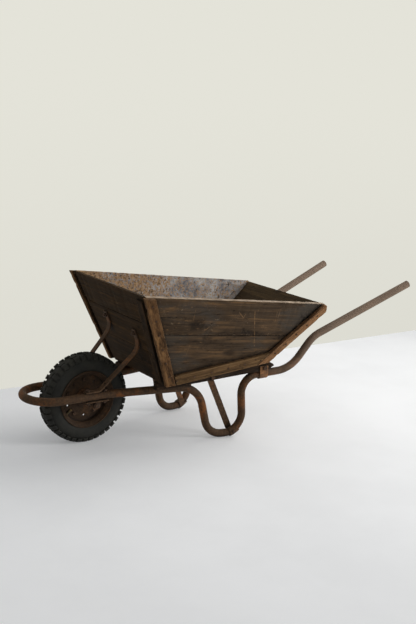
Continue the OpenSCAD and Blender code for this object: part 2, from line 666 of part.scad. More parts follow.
axle_nut_h = 13;
axle_nut_af = 24;
thread_d = axle_d - 3;      // the axle's threaded ends
spacer_d = 24;
bracket_face = nose_half + bracket_plate_t / 2;
axle_half = bracket_face + axle_nut_h + bolt_end;
module axle() color(dark_rust) wheel_frame() {
    cylinder(d = axle_d, h = nose_half * 2 - bracket_plate_t - 2 * seat_gap, center = true);
    cylinder(d = thread_d, h = 2 * axle_half, center = true);
}
module axle_nuts() color(dark_rust) wheel_frame() for (s = [0, 1]) mirror([0, 0, s])
    translate([0, 0, bracket_face + seat_gap]) difference() {
        hex(axle_nut_af, axle_nut_h);
        translate([0, 0, -1]) cylinder(d = thread_d + 0.1, h = axle_nut_h + 2);
    }
spacer_from = hub_len / 2 + 0.1 + bush_lip_t + fit_gap;
module axle_spacer(side) color(dark_rust) wheel_frame() mirror([0, 0, side == LEFT ? 1 : 0])
    translate([0, 0, spacer_from]) difference() {
        cylinder(d = spacer_d, h = nose_half - bracket_plate_t / 2 - seat_gap - spacer_from);
        translate([0, 0, -1]) cylinder(d = axle_d + 0.4, h = far / 10);
    }

// ================= tray =================

// Plane of a side's outer face: X along the barrow, Y up the slope, Z inwards
module on_side(side) on(side) translate([0, tray_half, tray_foot_z]) rotate([90 - splay, 0, 0]) children();
module strip(a, b, from, to) translate(a) rotate(atan2(b[1] - a[1], b[0] - a[0]))
    translate([-far / 2, from]) square([far, to - from]);
SLOPE = [for (p = SIDE) [p[0], slant(p[1])]];
module side_outline() polygon(SLOPE);
lower_from = upper_board_w + board_gap;
module side_board(side, from, to) color(oak) on_side(side) linear_extrude(height = board_t)
    difference() {
        intersection() {
            side_outline();
            strip(SLOPE[3], SLOPE[4], from, to);
        }
        front_strip(board_setback);
    }

// Strips along the edges of a side, wide enough for a batten
module front_strip(w = batten_w) strip(SLOPE[4], SLOPE[0], -1, w);
module rear_strip(w = rear_batten_w) strip(SLOPE[1], SLOPE[2], -1, w);
module bottom_strip() strip(SLOPE[0], SLOPE[1], 0, batten_w);
module batten(side) color(pale_oak) on_side(side) translate([0, 0, -batten_t])
    linear_extrude(height = batten_t - seat_gap) intersection() {
        side_outline();
        children();
    }
module front_batten(side) batten(side) front_strip();
module rear_batten(side) batten(side) rear_strip();
module bottom_batten(side) batten(side) difference() {
    bottom_strip();
    front_strip(batten_w + board_gap);
    rear_strip(rear_batten_w + board_gap);
}

// Space between the inner faces of the sides, less an inset on each
module between_sides(inset) rotate([90, 0, 90]) linear_extrude(height = far, center = true)
    let(low = side_y(0) - skin - inset, high = side_y(far / 2) - skin - inset)
        polygon([[-low, 0], [low, 0], [high, far / 2], [-high, far / 2]]);

// Cross-section strips of the end panels, in X and Z
module front_slice(from, to) strip(SIDE[4], SIDE[0], from, to);
module rear_slice(from, to) strip(SIDE[1], SIDE[2], from, to);
module floor_slice(from, to) strip(SIDE[0], SIDE[1], from, to);
module fitted(inset = seat_gap) intersection() {
    between_sides(inset);
    across(far) intersection() {
        polygon(SIDE);
        children();
    }
}
front_len = norm(SIDE[4] - SIDE[0]);
rear_len = norm(SIDE[3] - SIDE[1]);
// Band across a panel's slope, from its foot
module band(a, b, from, to) translate(a) rotate(atan2(b[1] - a[1], b[0] - a[0]))
    translate([from, -far / 2]) square([to - from, far]);
module front_board(i) color(oak) difference() {
    fitted() intersection() {
        front_slice(front_inset, front_inset + board_t);
        band(SIDE[0], SIDE[4], i == 0 ? -front_len : i * front_len / 3,
            i == 2 ? 2 * front_len : (i + 1) * front_len / 3 - board_gap);
    }
    for (side = [LEFT, RIGHT]) on(side)
        stay_bolt_place(side) cylinder(d = bolt_hole, h = 4 * board_t, center = true);
}
module rear_board(i) color(oak) fitted() intersection() {
    rear_slice(rear_inset, rear_inset + board_t);
    band(SIDE[1], SIDE[3], i == 0 ? -rear_len : i * rear_len / 3,
        i == 2 ? 2 * rear_len : (i + 1) * rear_len / 3 - board_gap);
}
floor_middle_w = 136;
module floor_board(i) color(dark_oak) intersection() {
    fitted() difference() {
        floor_slice(0, board_t);
        front_slice(-far, front_inset + board_t + seat_gap);
        rear_slice(-far, rear_inset + board_t + seat_gap);
    }
    if (i == 0) translate([0, -floor_middle_w / 2 + board_gap / 2, 0]) cube_y(floor_middle_w - board_gap);
    else on(i) translate([0, floor_middle_w / 2 + board_gap / 2, 0]) cube_y(far);
}
module cube_y(w) translate([-far / 2, 0, 0]) cube([far, w, far]);

cleat_top_drop = 26;
module front_cleat() color(pale_oak) on(LEFT) difference() {
    fitted() intersection() {
        front_slice(front_inset - seat_gap - cleat_t, front_inset - seat_gap);
        band(SIDE[0], SIDE[4], -front_len, front_len - cleat_top_drop);
    }
    between_sides(cleat_w);
    translate([-far / 2, -far, -far / 2]) cube([far, far, far]);
}

// Nails down the middle of the battens, along a line of the side's slope
nail_head_d = 2.3 * nail_d;
nail_head_t = 1.2;
module nail_row(a, b, n, inset) {
    d = unit(b - a);
    side_step = inset * [-d[1], d[0]];
    for (i = [0:n - 1]) {
        p = a + side_step + d * (nail_end + i * (norm(b - a) - 2 * nail_end) / (n - 1));
        translate([p[0], p[1], -batten_t]) {
            cylinder(d = nail_d, h = nail_len);
            translate([0, 0, -nail_head_t]) cylinder(d = nail_head_d, h = nail_head_t);
        }
    }
}
nail_end = 46;
module nails(side) color(dark_rust) on_side(side) {
    nail_row(SLOPE[4], SLOPE[0], 6, batten_w / 2);
    nail_row(SLOPE[0], SLOPE[1], 6, batten_w / 2);
    nail_row(SLOPE[1], SLOPE[2], 5, rear_batten_w / 2);
}

// ================= the barrow =================
placed() frame_tube();
placed() axle_bracket(LEFT);  // axle_bracket_left
placed() axle_bracket(RIGHT);  // axle_bracket_right
placed() bracket_bolts();
placed() bracket_nuts();
placed() wheel_stay(LEFT);  // wheel_stay_left
placed() wheel_stay(RIGHT);  // wheel_stay_right
placed() stay_bolts();
placed() leg_strut(LEFT);  // leg_strut_left
placed() leg_strut(RIGHT);  // leg_strut_right
placed() foot_rivets();
placed() strut_bolts();
placed() rear_clip(LEFT);  // rear_clip_left
placed() rear_clip(RIGHT);  // rear_clip_right
placed() clip_bolts();
placed() bearer(LEFT);  // bearer_left
placed() bearer(RIGHT);  // bearer_right
placed() axle();
placed() axle_nuts();
placed() axle_spacer(LEFT);  // axle_spacer_left
placed() axle_spacer(RIGHT);  // axle_spacer_right
placed() tyre();
placed() inner_tube();
placed() valve_stem();
placed() rim_half(LEFT);  // rim_half_left
placed() rim_half(RIGHT);  // rim_half_right
placed() rim_bolts();
placed() rim_nuts();
placed() hub();
placed() hub_bush(LEFT);  // hub_bush_left
placed() hub_bush(RIGHT);  // hub_bush_right
placed() side_board(LEFT, 0, upper_board_w);  // side_board_upper_left
placed() side_board(RIGHT, 0, upper_board_w);  // side_board_upper_right
placed() side_board(LEFT, lower_from, far);  // side_board_lower_left
placed() side_board(RIGHT, lower_from, far);  // side_board_lower_right
placed() front_board(0);  // front_board_lower
placed() front_board(1);  // front_board_middle
placed() front_board(2);  // front_board_upper
placed() rear_board(0);  // rear_board_lower
placed() rear_board(1);  // rear_board_middle
placed() rear_board(2);  // rear_board_upper
placed() floor_board(LEFT);  // floor_board_left
placed() floor_board(0);  // floor_board_middle
placed() floor_board(RIGHT);  // floor_board_right
placed() front_batten(LEFT);  // front_batten_left
placed() front_batten(RIGHT);  // front_batten_right
placed() bottom_batten(LEFT);  // bottom_batten_left
placed() bottom_batten(RIGHT);  // bottom_batten_right
placed() rear_batten(LEFT);  // rear_batten_left
placed() rear_batten(RIGHT);  // rear_batten_right
placed() front_cleat();
placed() nails(LEFT);  // nails_left
placed() nails(RIGHT);  // nails_right
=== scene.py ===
"""An old timber wheelbarrow on a bent tube frame: weathered boards, rusted iron and a dusty tyre."""

import logging
import math
from dataclasses import dataclass, field
from enum import Enum
from typing import Callable, Sequence

import bmesh
import bpy
from mathutils import Matrix, Vector, noise


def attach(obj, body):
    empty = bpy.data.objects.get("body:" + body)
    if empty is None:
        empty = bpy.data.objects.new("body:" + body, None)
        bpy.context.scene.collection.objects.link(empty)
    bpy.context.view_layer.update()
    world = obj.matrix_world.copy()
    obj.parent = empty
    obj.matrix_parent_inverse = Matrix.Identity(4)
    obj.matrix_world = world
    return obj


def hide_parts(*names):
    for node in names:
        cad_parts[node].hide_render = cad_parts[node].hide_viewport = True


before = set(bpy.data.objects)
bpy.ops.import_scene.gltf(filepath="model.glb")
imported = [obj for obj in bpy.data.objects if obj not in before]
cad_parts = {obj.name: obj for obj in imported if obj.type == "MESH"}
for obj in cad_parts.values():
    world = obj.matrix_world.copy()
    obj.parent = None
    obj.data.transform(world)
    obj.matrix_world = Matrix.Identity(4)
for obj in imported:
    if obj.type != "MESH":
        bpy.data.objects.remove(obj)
log = logging.getLogger("barrow")

Colour = tuple[float, float, float]
Band = tuple[float, float]
Socket = bpy.types.NodeSocket
Node = bpy.types.Node
Outputs = bpy.types.NodeOutputs
Material = bpy.types.Material


def srgb(text: str) -> Colour:
    """Linear colour of a screen colour written as six hex digits."""
    parts = [int(text[i : i + 2], 16) / 255 for i in (0, 2, 4)]
    return tuple(p / 12.92 if p <= 0.04045 else ((p + 0.055) / 1.055) ** 2.4 for p in parts)


# ---------------------------------------------------------------- node graphs


@dataclass(frozen=True)
class Noise:
    """Settings of fractal noise.

    Attributes:
        scale: How many features there are to a metre.
        detail: Octaves of finer noise.
        rough: Strength of the finer octaves.
        warp: How far the shapes are twisted.
    """

    scale: float
    detail: float = 4.0
    rough: float = 0.55
    warp: float = 0.0


@dataclass(frozen=True)
class Spots(Noise):
    """Noise cut off into soft-edged spots.

    Attributes:
        low: Noise level at a spot's rim.
        high: Noise level where the spot is full.
    """

    low: float = 0.4
    high: float = 0.6


@dataclass(frozen=True)
class Strands:
    """Noise drawn out along the grain.

    Attributes:
        along: Features to a metre along the grain.
        across: Features to a metre across it.
        detail: Octaves of finer noise.
        rough: Strength of the finer octaves.
        warp: How far the shapes are twisted.
    """

    along: float
    across: float
    detail: float
    rough: float = 0.55
    warp: float = 0.0


@dataclass
class Graph:
    """Short-hand for laying out shader nodes in one tree.

    Attributes:
        tree: The node tree that the nodes go into.
    """

    tree: bpy.types.NodeTree

    def add(self, kind: str, **values: object) -> Node:
        """Adds a node and sets its properties or the sockets of the same name.

        Args:
            kind: The node's type, without its ShaderNode prefix.
            **values: Properties in lower case, or socket names with underscores for spaces.

        Returns:
            The new node.
        """
        node = self.tree.nodes.new("ShaderNode" + kind)
        for key, value in values.items():
            if hasattr(node, key):
                setattr(node, key, value)
            else:
                self.feed(node.inputs[key.replace("_", " ")], value)
        return node

    def feed(self, socket: Socket, value: object) -> None:
        """Links a socket to another, or sets its constant."""
        if isinstance(value, Socket):
            self.tree.links.new(value, socket)
        elif isinstance(value, tuple) and len(value) == 3 and socket.type == "RGBA":
            socket.default_value = (*value, 1.0)
        else:
            socket.default_value = value

    def place(self) -> Socket:
        """Object coordinates, in metres of the barrow's own frame."""
        return self.add("TexCoord").outputs["Object"]

    def flat_normal(self) -> Socket:
        """The normal of the mesh itself, without any bump."""
        return self.add("NewGeometry").outputs["True Normal"]

    def math(self, kind: str, a: object, b: object, clamp: bool = False) -> Socket:
        """One arithmetic step on two values."""
        node = self.add("Math", operation=kind, use_clamp=clamp)
        self.feed(node.inputs[0], a)
        self.feed(node.inputs[1], b)
        return node.outputs[0]

    def times(self, a: object, b: object, clamp: bool = False) -> Socket:
        """The product of two values."""
        return self.math("MULTIPLY", a, b, clamp)

    def plus(self, a: object, b: object) -> Socket:
        """The sum of two values."""
        return self.math("ADD", a, b)

    def minus(self, a: object, b: object) -> Socket:
        """The first value less the second."""
        return self.math("SUBTRACT", a, b)

    def swing(self, value: object, size: float) -> Socket:
        """Turns a value round a half into one round zero, of a given size."""
        return self.times(self.minus(value, 0.5), size)

    def near_half(self, value: object, width: float) -> Socket:
        """A thin line wherever noise passes through a half."""
        return self.minus(1.0, self.step(self.math("ABSOLUTE", self.minus(value, 0.5), 0.5), 0.0, width))

    def blend(self, parts: Sequence[tuple[Socket, float]]) -> Socket:
        """The sum of values, each with its own share."""
        total = self.times(*parts[0])
        for value, share in parts[1:]:
            total = self.plus(total, self.times(value, share))
        return total

    def vector(self, kind: str, a: object, b: object) -> Node:
        """One arithmetic step on two vectors."""
        node = self.add("VectorMath", operation=kind)
        self.feed(node.inputs[0], a)
        self.feed(node.inputs[1], b)
        return node

    def squeeze(self, where: Socket, along: float, across: float) -> Socket:
        """A place with its first axis scaled by one number and the others by another."""
        return self.vector("MULTIPLY", where, (along, across, across)).outputs[0]

    def axis(self, where: Socket, name: str) -> Socket:
        """One of a vector's three numbers, by its letter."""
        split = self.add("SeparateXYZ")
        self.feed(split.inputs[0], where)
        return split.outputs[name]

    def step(self, value: object, low: float, high: float) -> Socket:
        """A smooth mask that rises from 0 at low to 1 at high."""
        node = self.add("MapRange", interpolation_type="SMOOTHSTEP")
        self.feed(node.inputs["Value"], value)
        self.feed(node.inputs["From Min"], low)
        self.feed(node.inputs["From Max"], high)
        return node.outputs["Result"]

    def between(self, value: object, low: float, high: float) -> Socket:
        """Maps a value that runs from 0 to 1 evenly on to low to high."""
        node = self.add("MapRange")
        self.feed(node.inputs["Value"], value)
        self.feed(node.inputs["To Min"], low)
        self.feed(node.inputs["To Max"], high)
        return node.outputs["Result"]

    def noise(self, where: object, kind: Noise) -> Socket:
        """Fractal noise from 0 to 1."""
        node = self.add(
            "TexNoise", Scale=kind.scale, Detail=kind.detail, Roughness=kind.rough, Distortion=kind.warp
        )
        self.feed(node.inputs["Vector"], where)
        return node.outputs["Fac"]

    def spots(self, where: object, kind: Spots, low_by: float = 0.0, high_by: float = 0.0) -> Socket:
        """A mask of spots.

        Args:
            where: The place to read the pattern at.
            kind: The spots.
            low_by: How far to lower the rim's level, which grows the spots.
            high_by: How far to lower the level where they are full.

        Returns:
            The mask.
        """
        return self.step(self.noise(where, kind), kind.low - low_by, kind.high - high_by)

    def strands(self, where: Socket, kind: Strands) -> Socket:
        """Noise from 0 to 1 that is drawn out along the first axis."""
        drawn = self.squeeze(where, kind.along, kind.across)
        return self.noise(drawn, Noise(1.0, kind.detail, kind.rough, kind.warp))

    def cells(self, where: object, scale: float, **values: float) -> Socket:
        """Distance to the nearest of scattered points."""
        node = self.add("TexVoronoi", Scale=scale, Randomness=1.0, **values)
        self.feed(node.inputs["Vector"], where)
        return node.outputs["Distance"]

    def mix(self, share: object, a: object, b: object, how: str = "MIX") -> Socket:
        """Mixes two colours by a mask."""
        node = self.add("Mix", data_type="RGBA", blend_type=how)
        self.feed(node.inputs[0], share)
        self.feed(node.inputs[6], a)
        self.feed(node.inputs[7], b)
        return node.outputs[2]

    def over(self, colour: Socket, coat: object, mask: Socket, strength: float) -> Socket:
        """Lays a coat of another colour over a colour, where a mask says and as strongly as given."""
        return self.mix(self.times(mask, strength), colour, coat)

    def ramp(self, value: object, stops: Sequence[tuple[float, Colour]]) -> Socket:
        """Colours along a value.

        Args:
            value: The socket that runs along the ramp.
            stops: Position and colour of each stop, in order.

        Returns:
            The ramp's colour.
        """
        node = self.add("ValToRGB")
        self.feed(node.inputs[0], value)
        bar = node.color_ramp.elements
        while len(bar) < len(stops):
            bar.new(0.5)
        for element, (at, colour) in zip(bar, stops):
            element.position = at
            element.color = (*colour, 1.0)
        return node.outputs[0]

    def bump(self, height: object, depth: float, strength: float, normal: Socket) -> Socket:
        """A bumped normal.

        Args:
            height: The relief, from 0 to 1.
            depth: Its depth in metres.
            strength: How much of it shows, from 0 to 1.
            normal: The normal that it is laid on.

        Returns:
            The normal.
        """
        node = self.add("Bump", Strength=strength, Distance=depth, Height=height, Normal=normal)
        return node.outputs[0]

    def coat(self, skin: Node, colour: Socket, rough: Socket, normal: Socket, shine: float) -> None:
        """Feeds a Principled shader its colour, roughness and normal, and sets its specular level."""
        parts = {"Base Color": colour, "Roughness": rough, "Normal": normal, "Specular IOR Level": shine}
        for name, value in parts.items():
            self.feed(skin.inputs[name], value)


@dataclass
class Effect:
    """A shader node group that more than one finish uses.

    Attributes:
        name: Name of the group.
        inputs: Socket name, type and default of each input.
        outputs: Socket name and type of each output.
        draw: Fills the group's graph from its input and output nodes.
    """

    name: str
    inputs: Sequence[tuple[str, str, object]]
    outputs: Sequence[tuple[str, str]]
    draw: Callable[[Graph, Node, Node], None]

    def tree(self) -> bpy.types.NodeTree:
        """The group's tree, built the first time it is asked for."""
        if self.name in bpy.data.node_groups:
            return bpy.data.node_groups[self.name]
        tree = bpy.data.node_groups.new(self.name, "ShaderNodeTree")
        for name, kind, default in self.inputs:
            socket = tree.interface.new_socket(name, in_out="INPUT", socket_type="NodeSocket" + kind)
            if default is not None:
                socket.default_value = default
        for name, kind in self.outputs:
            tree.interface.new_socket(name, in_out="OUTPUT", socket_type="NodeSocket" + kind)
        start = tree.nodes.new("NodeGroupInput")
        end = tree.nodes.new("NodeGroupOutput")
        self.draw(Graph(tree), start, end)
        return tree

    def put(self, graph: Graph, **values: object) -> Outputs:
        """Places the group in a material with its own values.

        Args:
            graph: The material's graph.
            **values: Input sockets by name, with underscores for spaces.

        Returns:
            The group's outputs.
        """
        node = graph.tree.nodes.new("ShaderNodeGroup")
        node.node_tree = self.tree()
        for key, value in values.items():
            graph.feed(node.inputs[key.replace("_", " ")], value)
        return node.outputs


# ---------------------------------------------------------------- shared effects

RAY_SAMPLES = 6  # rays that the edge and corner masks send out

EDGE_GAIN = 3.4
EDGE_CHIPS = Noise(60.0, 5.0, 0.7)
EDGE_PATCHES = Noise(7.0, 2.0)
EDGE_BAND: Band = (0.22, 0.62)


def draw_edge_wear(g: Graph, start: Node, end: Node) -> None:
    """Finds edges by how far a rounded normal leans from the true one, broken up by noise."""
    where = start.outputs["Vector"]
    rounded = g.add("Bevel", samples=RAY_SAMPLES)
    g.feed(rounded.inputs["Radius"], start.outputs["Radius"])
    lean = g.vector("DOT_PRODUCT", rounded.outputs[0], g.flat_normal()).outputs["Value"]
    edge = g.times(g.minus(1.0, lean), EDGE_GAIN, clamp=True)
    broken = g.plus(g.noise(where, EDGE_CHIPS), g.noise(where, EDGE_PATCHES))
    g.feed(end.inputs["Mask"], g.step(g.times(edge, broken), *EDGE_BAND))
    g.feed(end.inputs["Normal"], rounded.outputs[0])


EDGE_WEAR = Effect(
    "edge wear",
    [("Vector", "Vector", None), ("Radius", "Float", 0.003)],
    [("Mask", "Float"), ("Normal", "Vector")],
    draw_edge_wear,
)

BLOTCHES = Noise(9.0, 5.0, 0.62, 0.6)
CRUST = Noise(85.0, 6.0, 0.68, 0.3)
SPECKS = Noise(330.0, 3.0, 0.6)
PIT_SCALE = 150.0
PIT_BAND: Band = (0.12, 0.42)


def draw_rust(g: Graph, start: Node, end: Node) -> None:
    """Blotches a hand wide, crusty scale a few millimetres wide, and pits."""
    where = start.outputs["Vector"]
    crust = g.noise(where, CRUST)
    speck = g.noise(where, SPECKS)
    pits = g.step(g.cells(where, PIT_SCALE, Detail=1.0), *PIT_BAND)
    g.feed(end.inputs["Blotch"], g.noise(where, BLOTCHES))
    g.feed(end.inputs["Crust"], g.blend([(crust, 0.65), (speck, 0.35)]))
    g.feed(end.inputs["Height"], g.blend([(crust, 0.70), (speck, 0.18), (pits, 0.16)]))


RUST = Effect(
    "rust",
    [("Vector", "Vector", None)],
    [("Blotch", "Float"), ("Crust", "Float"), ("Height", "Float")],
    draw_rust,
)

WANDER = Strands(1.2, 5.0, 2.0, 0.5)
WANDER_SIZE = 2.6
RING_SPACE: Band = (0.9, 14.0)
RING_NOISE = Noise(1.0, 3.0, 0.55, 0.25)
RING_COUNT = 9.0
FIBRES = Strands(9.0, 330.0, 4.0, 0.6)
STREAKS = Strands(2.2, 70.0, 4.0, 0.6)
SPLITS = Strands(1.6, 46.0, 2.5, 0.5, 0.12)
SPLIT_WIDTH = 0.010
SPLIT_ZONES = Strands(1.5, 8.0, 2.0)
SPLIT_ZONE_BAND: Band = (0.50, 0.60)
KNOT_SPACE: Band = (3.4, 6.5)
KNOT_BAND: Band = (0.03, 0.15)


def draw_grain(g: Graph, start: Node, end: Node) -> None:
    """Timber with its grain along the first axis: growth rings, fibres, knots and drying cracks."""
    where = start.outputs["Vector"]
    wander = g.vector("MULTIPLY", (0.0, WANDER_SIZE, WANDER_SIZE), g.strands(where, WANDER)).outputs[0]
    bent = g.vector("ADD", g.squeeze(where, *RING_SPACE), wander).outputs[0]
    rings = g.math("PINGPONG", g.times(g.noise(bent, RING_NOISE), RING_COUNT), 1.0)
    fibres = g.strands(where, FIBRES)
    streaks = g.strands(where, STREAKS)
    crack = g.near_half(g.strands(where, SPLITS), SPLIT_WIDTH)
    crack = g.times(crack, g.step(g.strands(where, SPLIT_ZONES), *SPLIT_ZONE_BAND))
    knot = g.minus(1.0, g.step(g.cells(g.squeeze(where, *KNOT_SPACE), 1.0), *KNOT_BAND))
    g.feed(end.inputs["Rings"], rings)
    g.feed(end.inputs["Fibres"], fibres)
    g.feed(end.inputs["Streaks"], streaks)
    g.feed(end.inputs["Cracks"], crack)
    g.feed(end.inputs["Knots"], knot)
    relief = g.blend([(fibres, 0.45), (streaks, 0.45), (rings, 0.12)])
    g.feed(end.inputs["Height"], g.minus(relief, g.times(crack, 0.9)))


GRAIN = Effect(
    "timber grain",
    [("Vector", "Vector", None)],
    [(name, "Float") for name in ("Rings", "Fibres", "Streaks", "Cracks", "Knots", "Height")],
    draw_grain,
)

CORNER_RAGS = Noise(42.0, 5.0, 0.65)
CORNER_RAG_SIZE = 0.5
CORNER_BAND: Band = (0.42, 0.92)


def draw_corner_dirt_and_shade(g: Graph, start: Node, end: Node) -> None:
    """Dirt in corners and joints, and painted shade there: the mask is high where ambient occlusion is low.
    """
    shelter = g.add("AmbientOcclusion", samples=RAY_SAMPLES)
    g.feed(shelter.inputs["Distance"], start.outputs["Reach"])
    ragged = g.swing(g.noise(start.outputs["Vector"], CORNER_RAGS), CORNER_RAG_SIZE)
    bare = g.step(g.plus(shelter.outputs["AO"], ragged), *CORNER_BAND)
    g.feed(end.inputs["Mask"], g.minus(1.0, bare))


CORNER_DIRT_AND_SHADE = Effect(
    "corner dirt and shade",
    [("Vector", "Vector", None), ("Reach", "Float", 0.03)],
    [("Mask", "Float")],
    draw_corner_dirt_and_shade,
)

SCRATCH_AXIS = (0.25, 0.9, 0.35)
SCRATCH_SETS = ((0.35, 26.0), (1.30, 34.0), (2.35, 22.0))  # turn in radians, lines to a metre
SCRATCH_SQUEEZE = (0.3, 0.3, 6.0)
SCRATCH_LINES = Noise(1.0, 1.0, 0.4, 0.15)
SCRATCH_WIDTH = 0.006
SCRATCH_ZONE_SCALE = 0.55
SCRATCH_ZONE_BAND: Band = (0.60, 0.66)
DENT_SCALE = 38.0
DENT_BAND: Band = (0.02, 0.10)
DENT_ZONES = Spots(11.0, 2.0, 0.55, 0.0, 0.5, 0.6)


def draw_scuffs(g: Graph, start: Node, end: Node) -> None:
    """Thin pale scratches in three directions and small round dents."""
    where = start.outputs["Vector"]
    total: object = 0.0
    for turn, stretch in SCRATCH_SETS:
        turned = g.add("VectorRotate", rotation_type="AXIS_ANGLE")
        g.feed(turned.inputs["Vector"], where)
        turned.inputs["Axis"].default_value = SCRATCH_AXIS
        turned.inputs["Angle"].default_value = turn
        squeeze = tuple(stretch * share for share in SCRATCH_SQUEEZE)
        thin = g.vector("MULTIPLY", turned.outputs[0], squeeze).outputs[0]
        mark = g.near_half(g.noise(thin, SCRATCH_LINES), SCRATCH_WIDTH)
        zones = g.noise(turned.outputs[0], Noise(stretch * SCRATCH_ZONE_SCALE, 2.0))
        total = g.math("MAXIMUM", total, g.times(mark, g.step(zones, *SCRATCH_ZONE_BAND)))
    dents = g.minus(1.0, g.step(g.cells(where, DENT_SCALE), *DENT_BAND))
    g.feed(end.inputs["Scratches"], total)
    g.feed(end.inputs["Dents"], g.times(dents, g.spots(where, DENT_ZONES)))


SCUFFS = Effect(
    "scuffs",
    [("Vector", "Vector", None)],
    [("Scratches", "Float"), ("Dents", "Float")],
    draw_scuffs,
)

SIDE_VIEW = (1.0, 0.0, 1.0)  # drops Y
STROKE_WANDER = Noise(45.0, 4.0, 0.7)
STROKE_WANDER_SIZE = 0.007
STROKE_BAND: Band = (0.0004, 0.0022)
STROKE_BREAKS = Spots(120.0, 3.0, 0.6, 0.0, 0.36, 0.56)


def draw_stroke(g: Graph, start: Node, end: Node) -> None:
    """One ragged scratch between two points, seen from the side."""
    where = start.outputs["Vector"]
    here, first, last = (
        g.vector("MULTIPLY", start.outputs[name], SIDE_VIEW).outputs[0] for name in ("Vector", "From", "To")
    )
    off = g.vector("SUBTRACT", here, first).outputs[0]
    run = g.vector("SUBTRACT", last, first).outputs[0]
    passed = g.vector("DOT_PRODUCT", off, run).outputs["Value"]
    whole = g.vector("DOT_PRODUCT", run, run).outputs["Value"]
    nearest = g.add("VectorMath", operation="SCALE")
    g.feed(nearest.inputs[0], run)
    g.feed(nearest.inputs["Scale"], g.math("DIVIDE", passed, whole, clamp=True))
    gap = g.vector("SUBTRACT", off, nearest.outputs[0]).outputs[0]
    away = g.vector("LENGTH", gap, (0.0, 0.0, 0.0)).outputs["Value"]
    wander = g.swing(g.noise(where, STROKE_WANDER), STROKE_WANDER_SIZE)
    away = g.math("ABSOLUTE", g.plus(away, wander), 0.5)
    line = g.minus(1.0, g.step(away, *STROKE_BAND))
    g.feed(end.inputs["Mask"], g.times(line, g.spots(where, STROKE_BREAKS)))


STROKE = Effect(
    "stroke",
    [("Vector", "Vector", None), ("From", "Vector", None), ("To", "Vector", None)],
    [("Mask", "Float")],
    draw_stroke,
)

LEVEL_BAND: Band = (0.15, 0.95)
DUST_PATCHES = Spots(22.0, 5.0, 0.65, 0.0, 0.34, 0.7)
DUST_GRAIN = Noise(210.0, 3.0, 0.6)
DUST_THINNEST = 0.55


def draw_dust(g: Graph, start: Node, end: Node) -> None:
    """Dust that settles on what faces up, thicker in patches."""
    where = start.outputs["Vector"]
    up = g.axis(g.add("NewGeometry").outputs["Normal"], "Z")
    grains = g.between(g.noise(where, DUST_GRAIN), DUST_THINNEST, 1.0)
    cover = g.times(g.spots(where, DUST_PATCHES), grains)
    g.feed(end.inputs["Settled"], g.times(g.step(up, *LEVEL_BAND), cover))
    g.feed(end.inputs["Film"], cover)


DUST = Effect(
    "dust",
    [("Vector", "Vector", None)],
    [("Settled", "Float"), ("Film", "Float")],
    draw_dust,
)


# ---------------------------------------------------------------- finishes


WOOD_SHINE = 0.1  # specular levels
RUST_SHINE = 0.3
RUBBER_SHINE = 0.3
BRASS_SHINE = 0.5


@dataclass(frozen=True)
class Finish:
    """What every finish can do.

    Attributes:
        name: The material's name.
    """

    name: str

    def paint(self, g: Graph, skin: Node) -> None:
        """Draws the finish's nodes into the material and feeds its Principled shader."""
        raise NotImplementedError

    def material(self) -> Material:
        """The finish as a material, built the first time it is asked for."""
        if self.name in bpy.data.materials:
            return bpy.data.materials[self.name]
        made = bpy.data.materials.new(self.name)
        made.use_nodes = True
        self.paint(Graph(made.node_tree), made.node_tree.nodes["Principled BSDF"])
        return made

    def dress(self, piece: bpy.types.Object) -> None:
        """Puts the finish on a piece in place of what it had."""
        piece.data.materials.clear()
        piece.data.materials.append(self.material())


@dataclass(frozen=True)
class RustedIron(Finish):
    """Iron under an even coat of old rust.

    Attributes:
        deep: The darkest, oldest rust.
        brown: The common colour.
        orange: Fresh rust in the blotches.
        worn: Where hands and ground have rubbed the high spots and edges.
        pit_depth: How rough the crust is, in metres.
        gloss: The lowest roughness, on rubbed spots.
        fresh: Share of the surface with fresh rust, from 0 to 1.
        dirt_and_shade: Colour of the dirt and painted shade in the corners.
        edge_width: Width of the rubbed edges, in metres.
        dirt_and_shade_reach: How far the dirt and painted shade spread from a corner, in metres.
    """

    deep: Colour = srgb("2a1a13")
    brown: Colour = srgb("5a3825")
    orange: Colour = srgb("87502c")
    worn: Colour = srgb("8a6a55")
    pit_depth: float = 0.0012
    gloss: float = 0.55
    fresh: float = 0.5
    dirt_and_shade: Colour = srgb("140d08")
    edge_width: float = 0.0016
    dirt_and_shade_reach: float = 0.022

    def rubbed(self, g: Graph, where: Socket, rust: Outputs, colour: Socket) -> Socket:
        """Changes the colour towards the grips, for rubbed rust and painted light; plain iron keeps its
        own.
        """
        return colour

    def paint(self, g: Graph, skin: Node) -> None:
        """Rust colours by blotch and crust, with rubbed edges."""
        where = g.place()
        rust = RUST.put(g, Vector=where)
        wear = EDGE_WEAR.put(g, Vector=where, Radius=self.edge_width)
        base = g.ramp(rust["Crust"], [(0.30, self.deep), (0.50, self.brown), (0.74, self.worn)])
        grown = 0.3 * self.fresh
        bloom = g.times(
            g.step(rust["Blotch"], 0.66 - grown, 0.86 - grown), g.step(rust["Crust"], 0.36, 0.56)
        )
        colour = self.rubbed(g, where, rust, g.mix(bloom, base, self.orange))
        shade = g.between(rust["Blotch"], 0.62, 1.28)
        grey = g.add("CombineColor", Red=shade, Green=shade, Blue=shade).outputs[0]
        colour = g.mix(1.0, colour, grey, "MULTIPLY")
        colour = g.over(colour, self.worn, wear["Mask"], 0.55)
        # Corners and joints are darkened where ambient occlusion is low: dirt, and painted shade.
        corners = CORNER_DIRT_AND_SHADE.put(g, Vector=where, Reach=self.dirt_and_shade_reach)["Mask"]
        colour = g.over(colour, self.dirt_and_shade, corners, 0.7)
        rough = g.between(rust["Crust"], self.gloss, 0.98)
        g.feed(skin.inputs["Metallic"], g.times(wear["Mask"], 0.25))
        normal = g.bump(rust["Height"], self.pit_depth, 0.9, wear["Normal"])
        g.coat(skin, colour, rough, normal, RUST_SHINE)


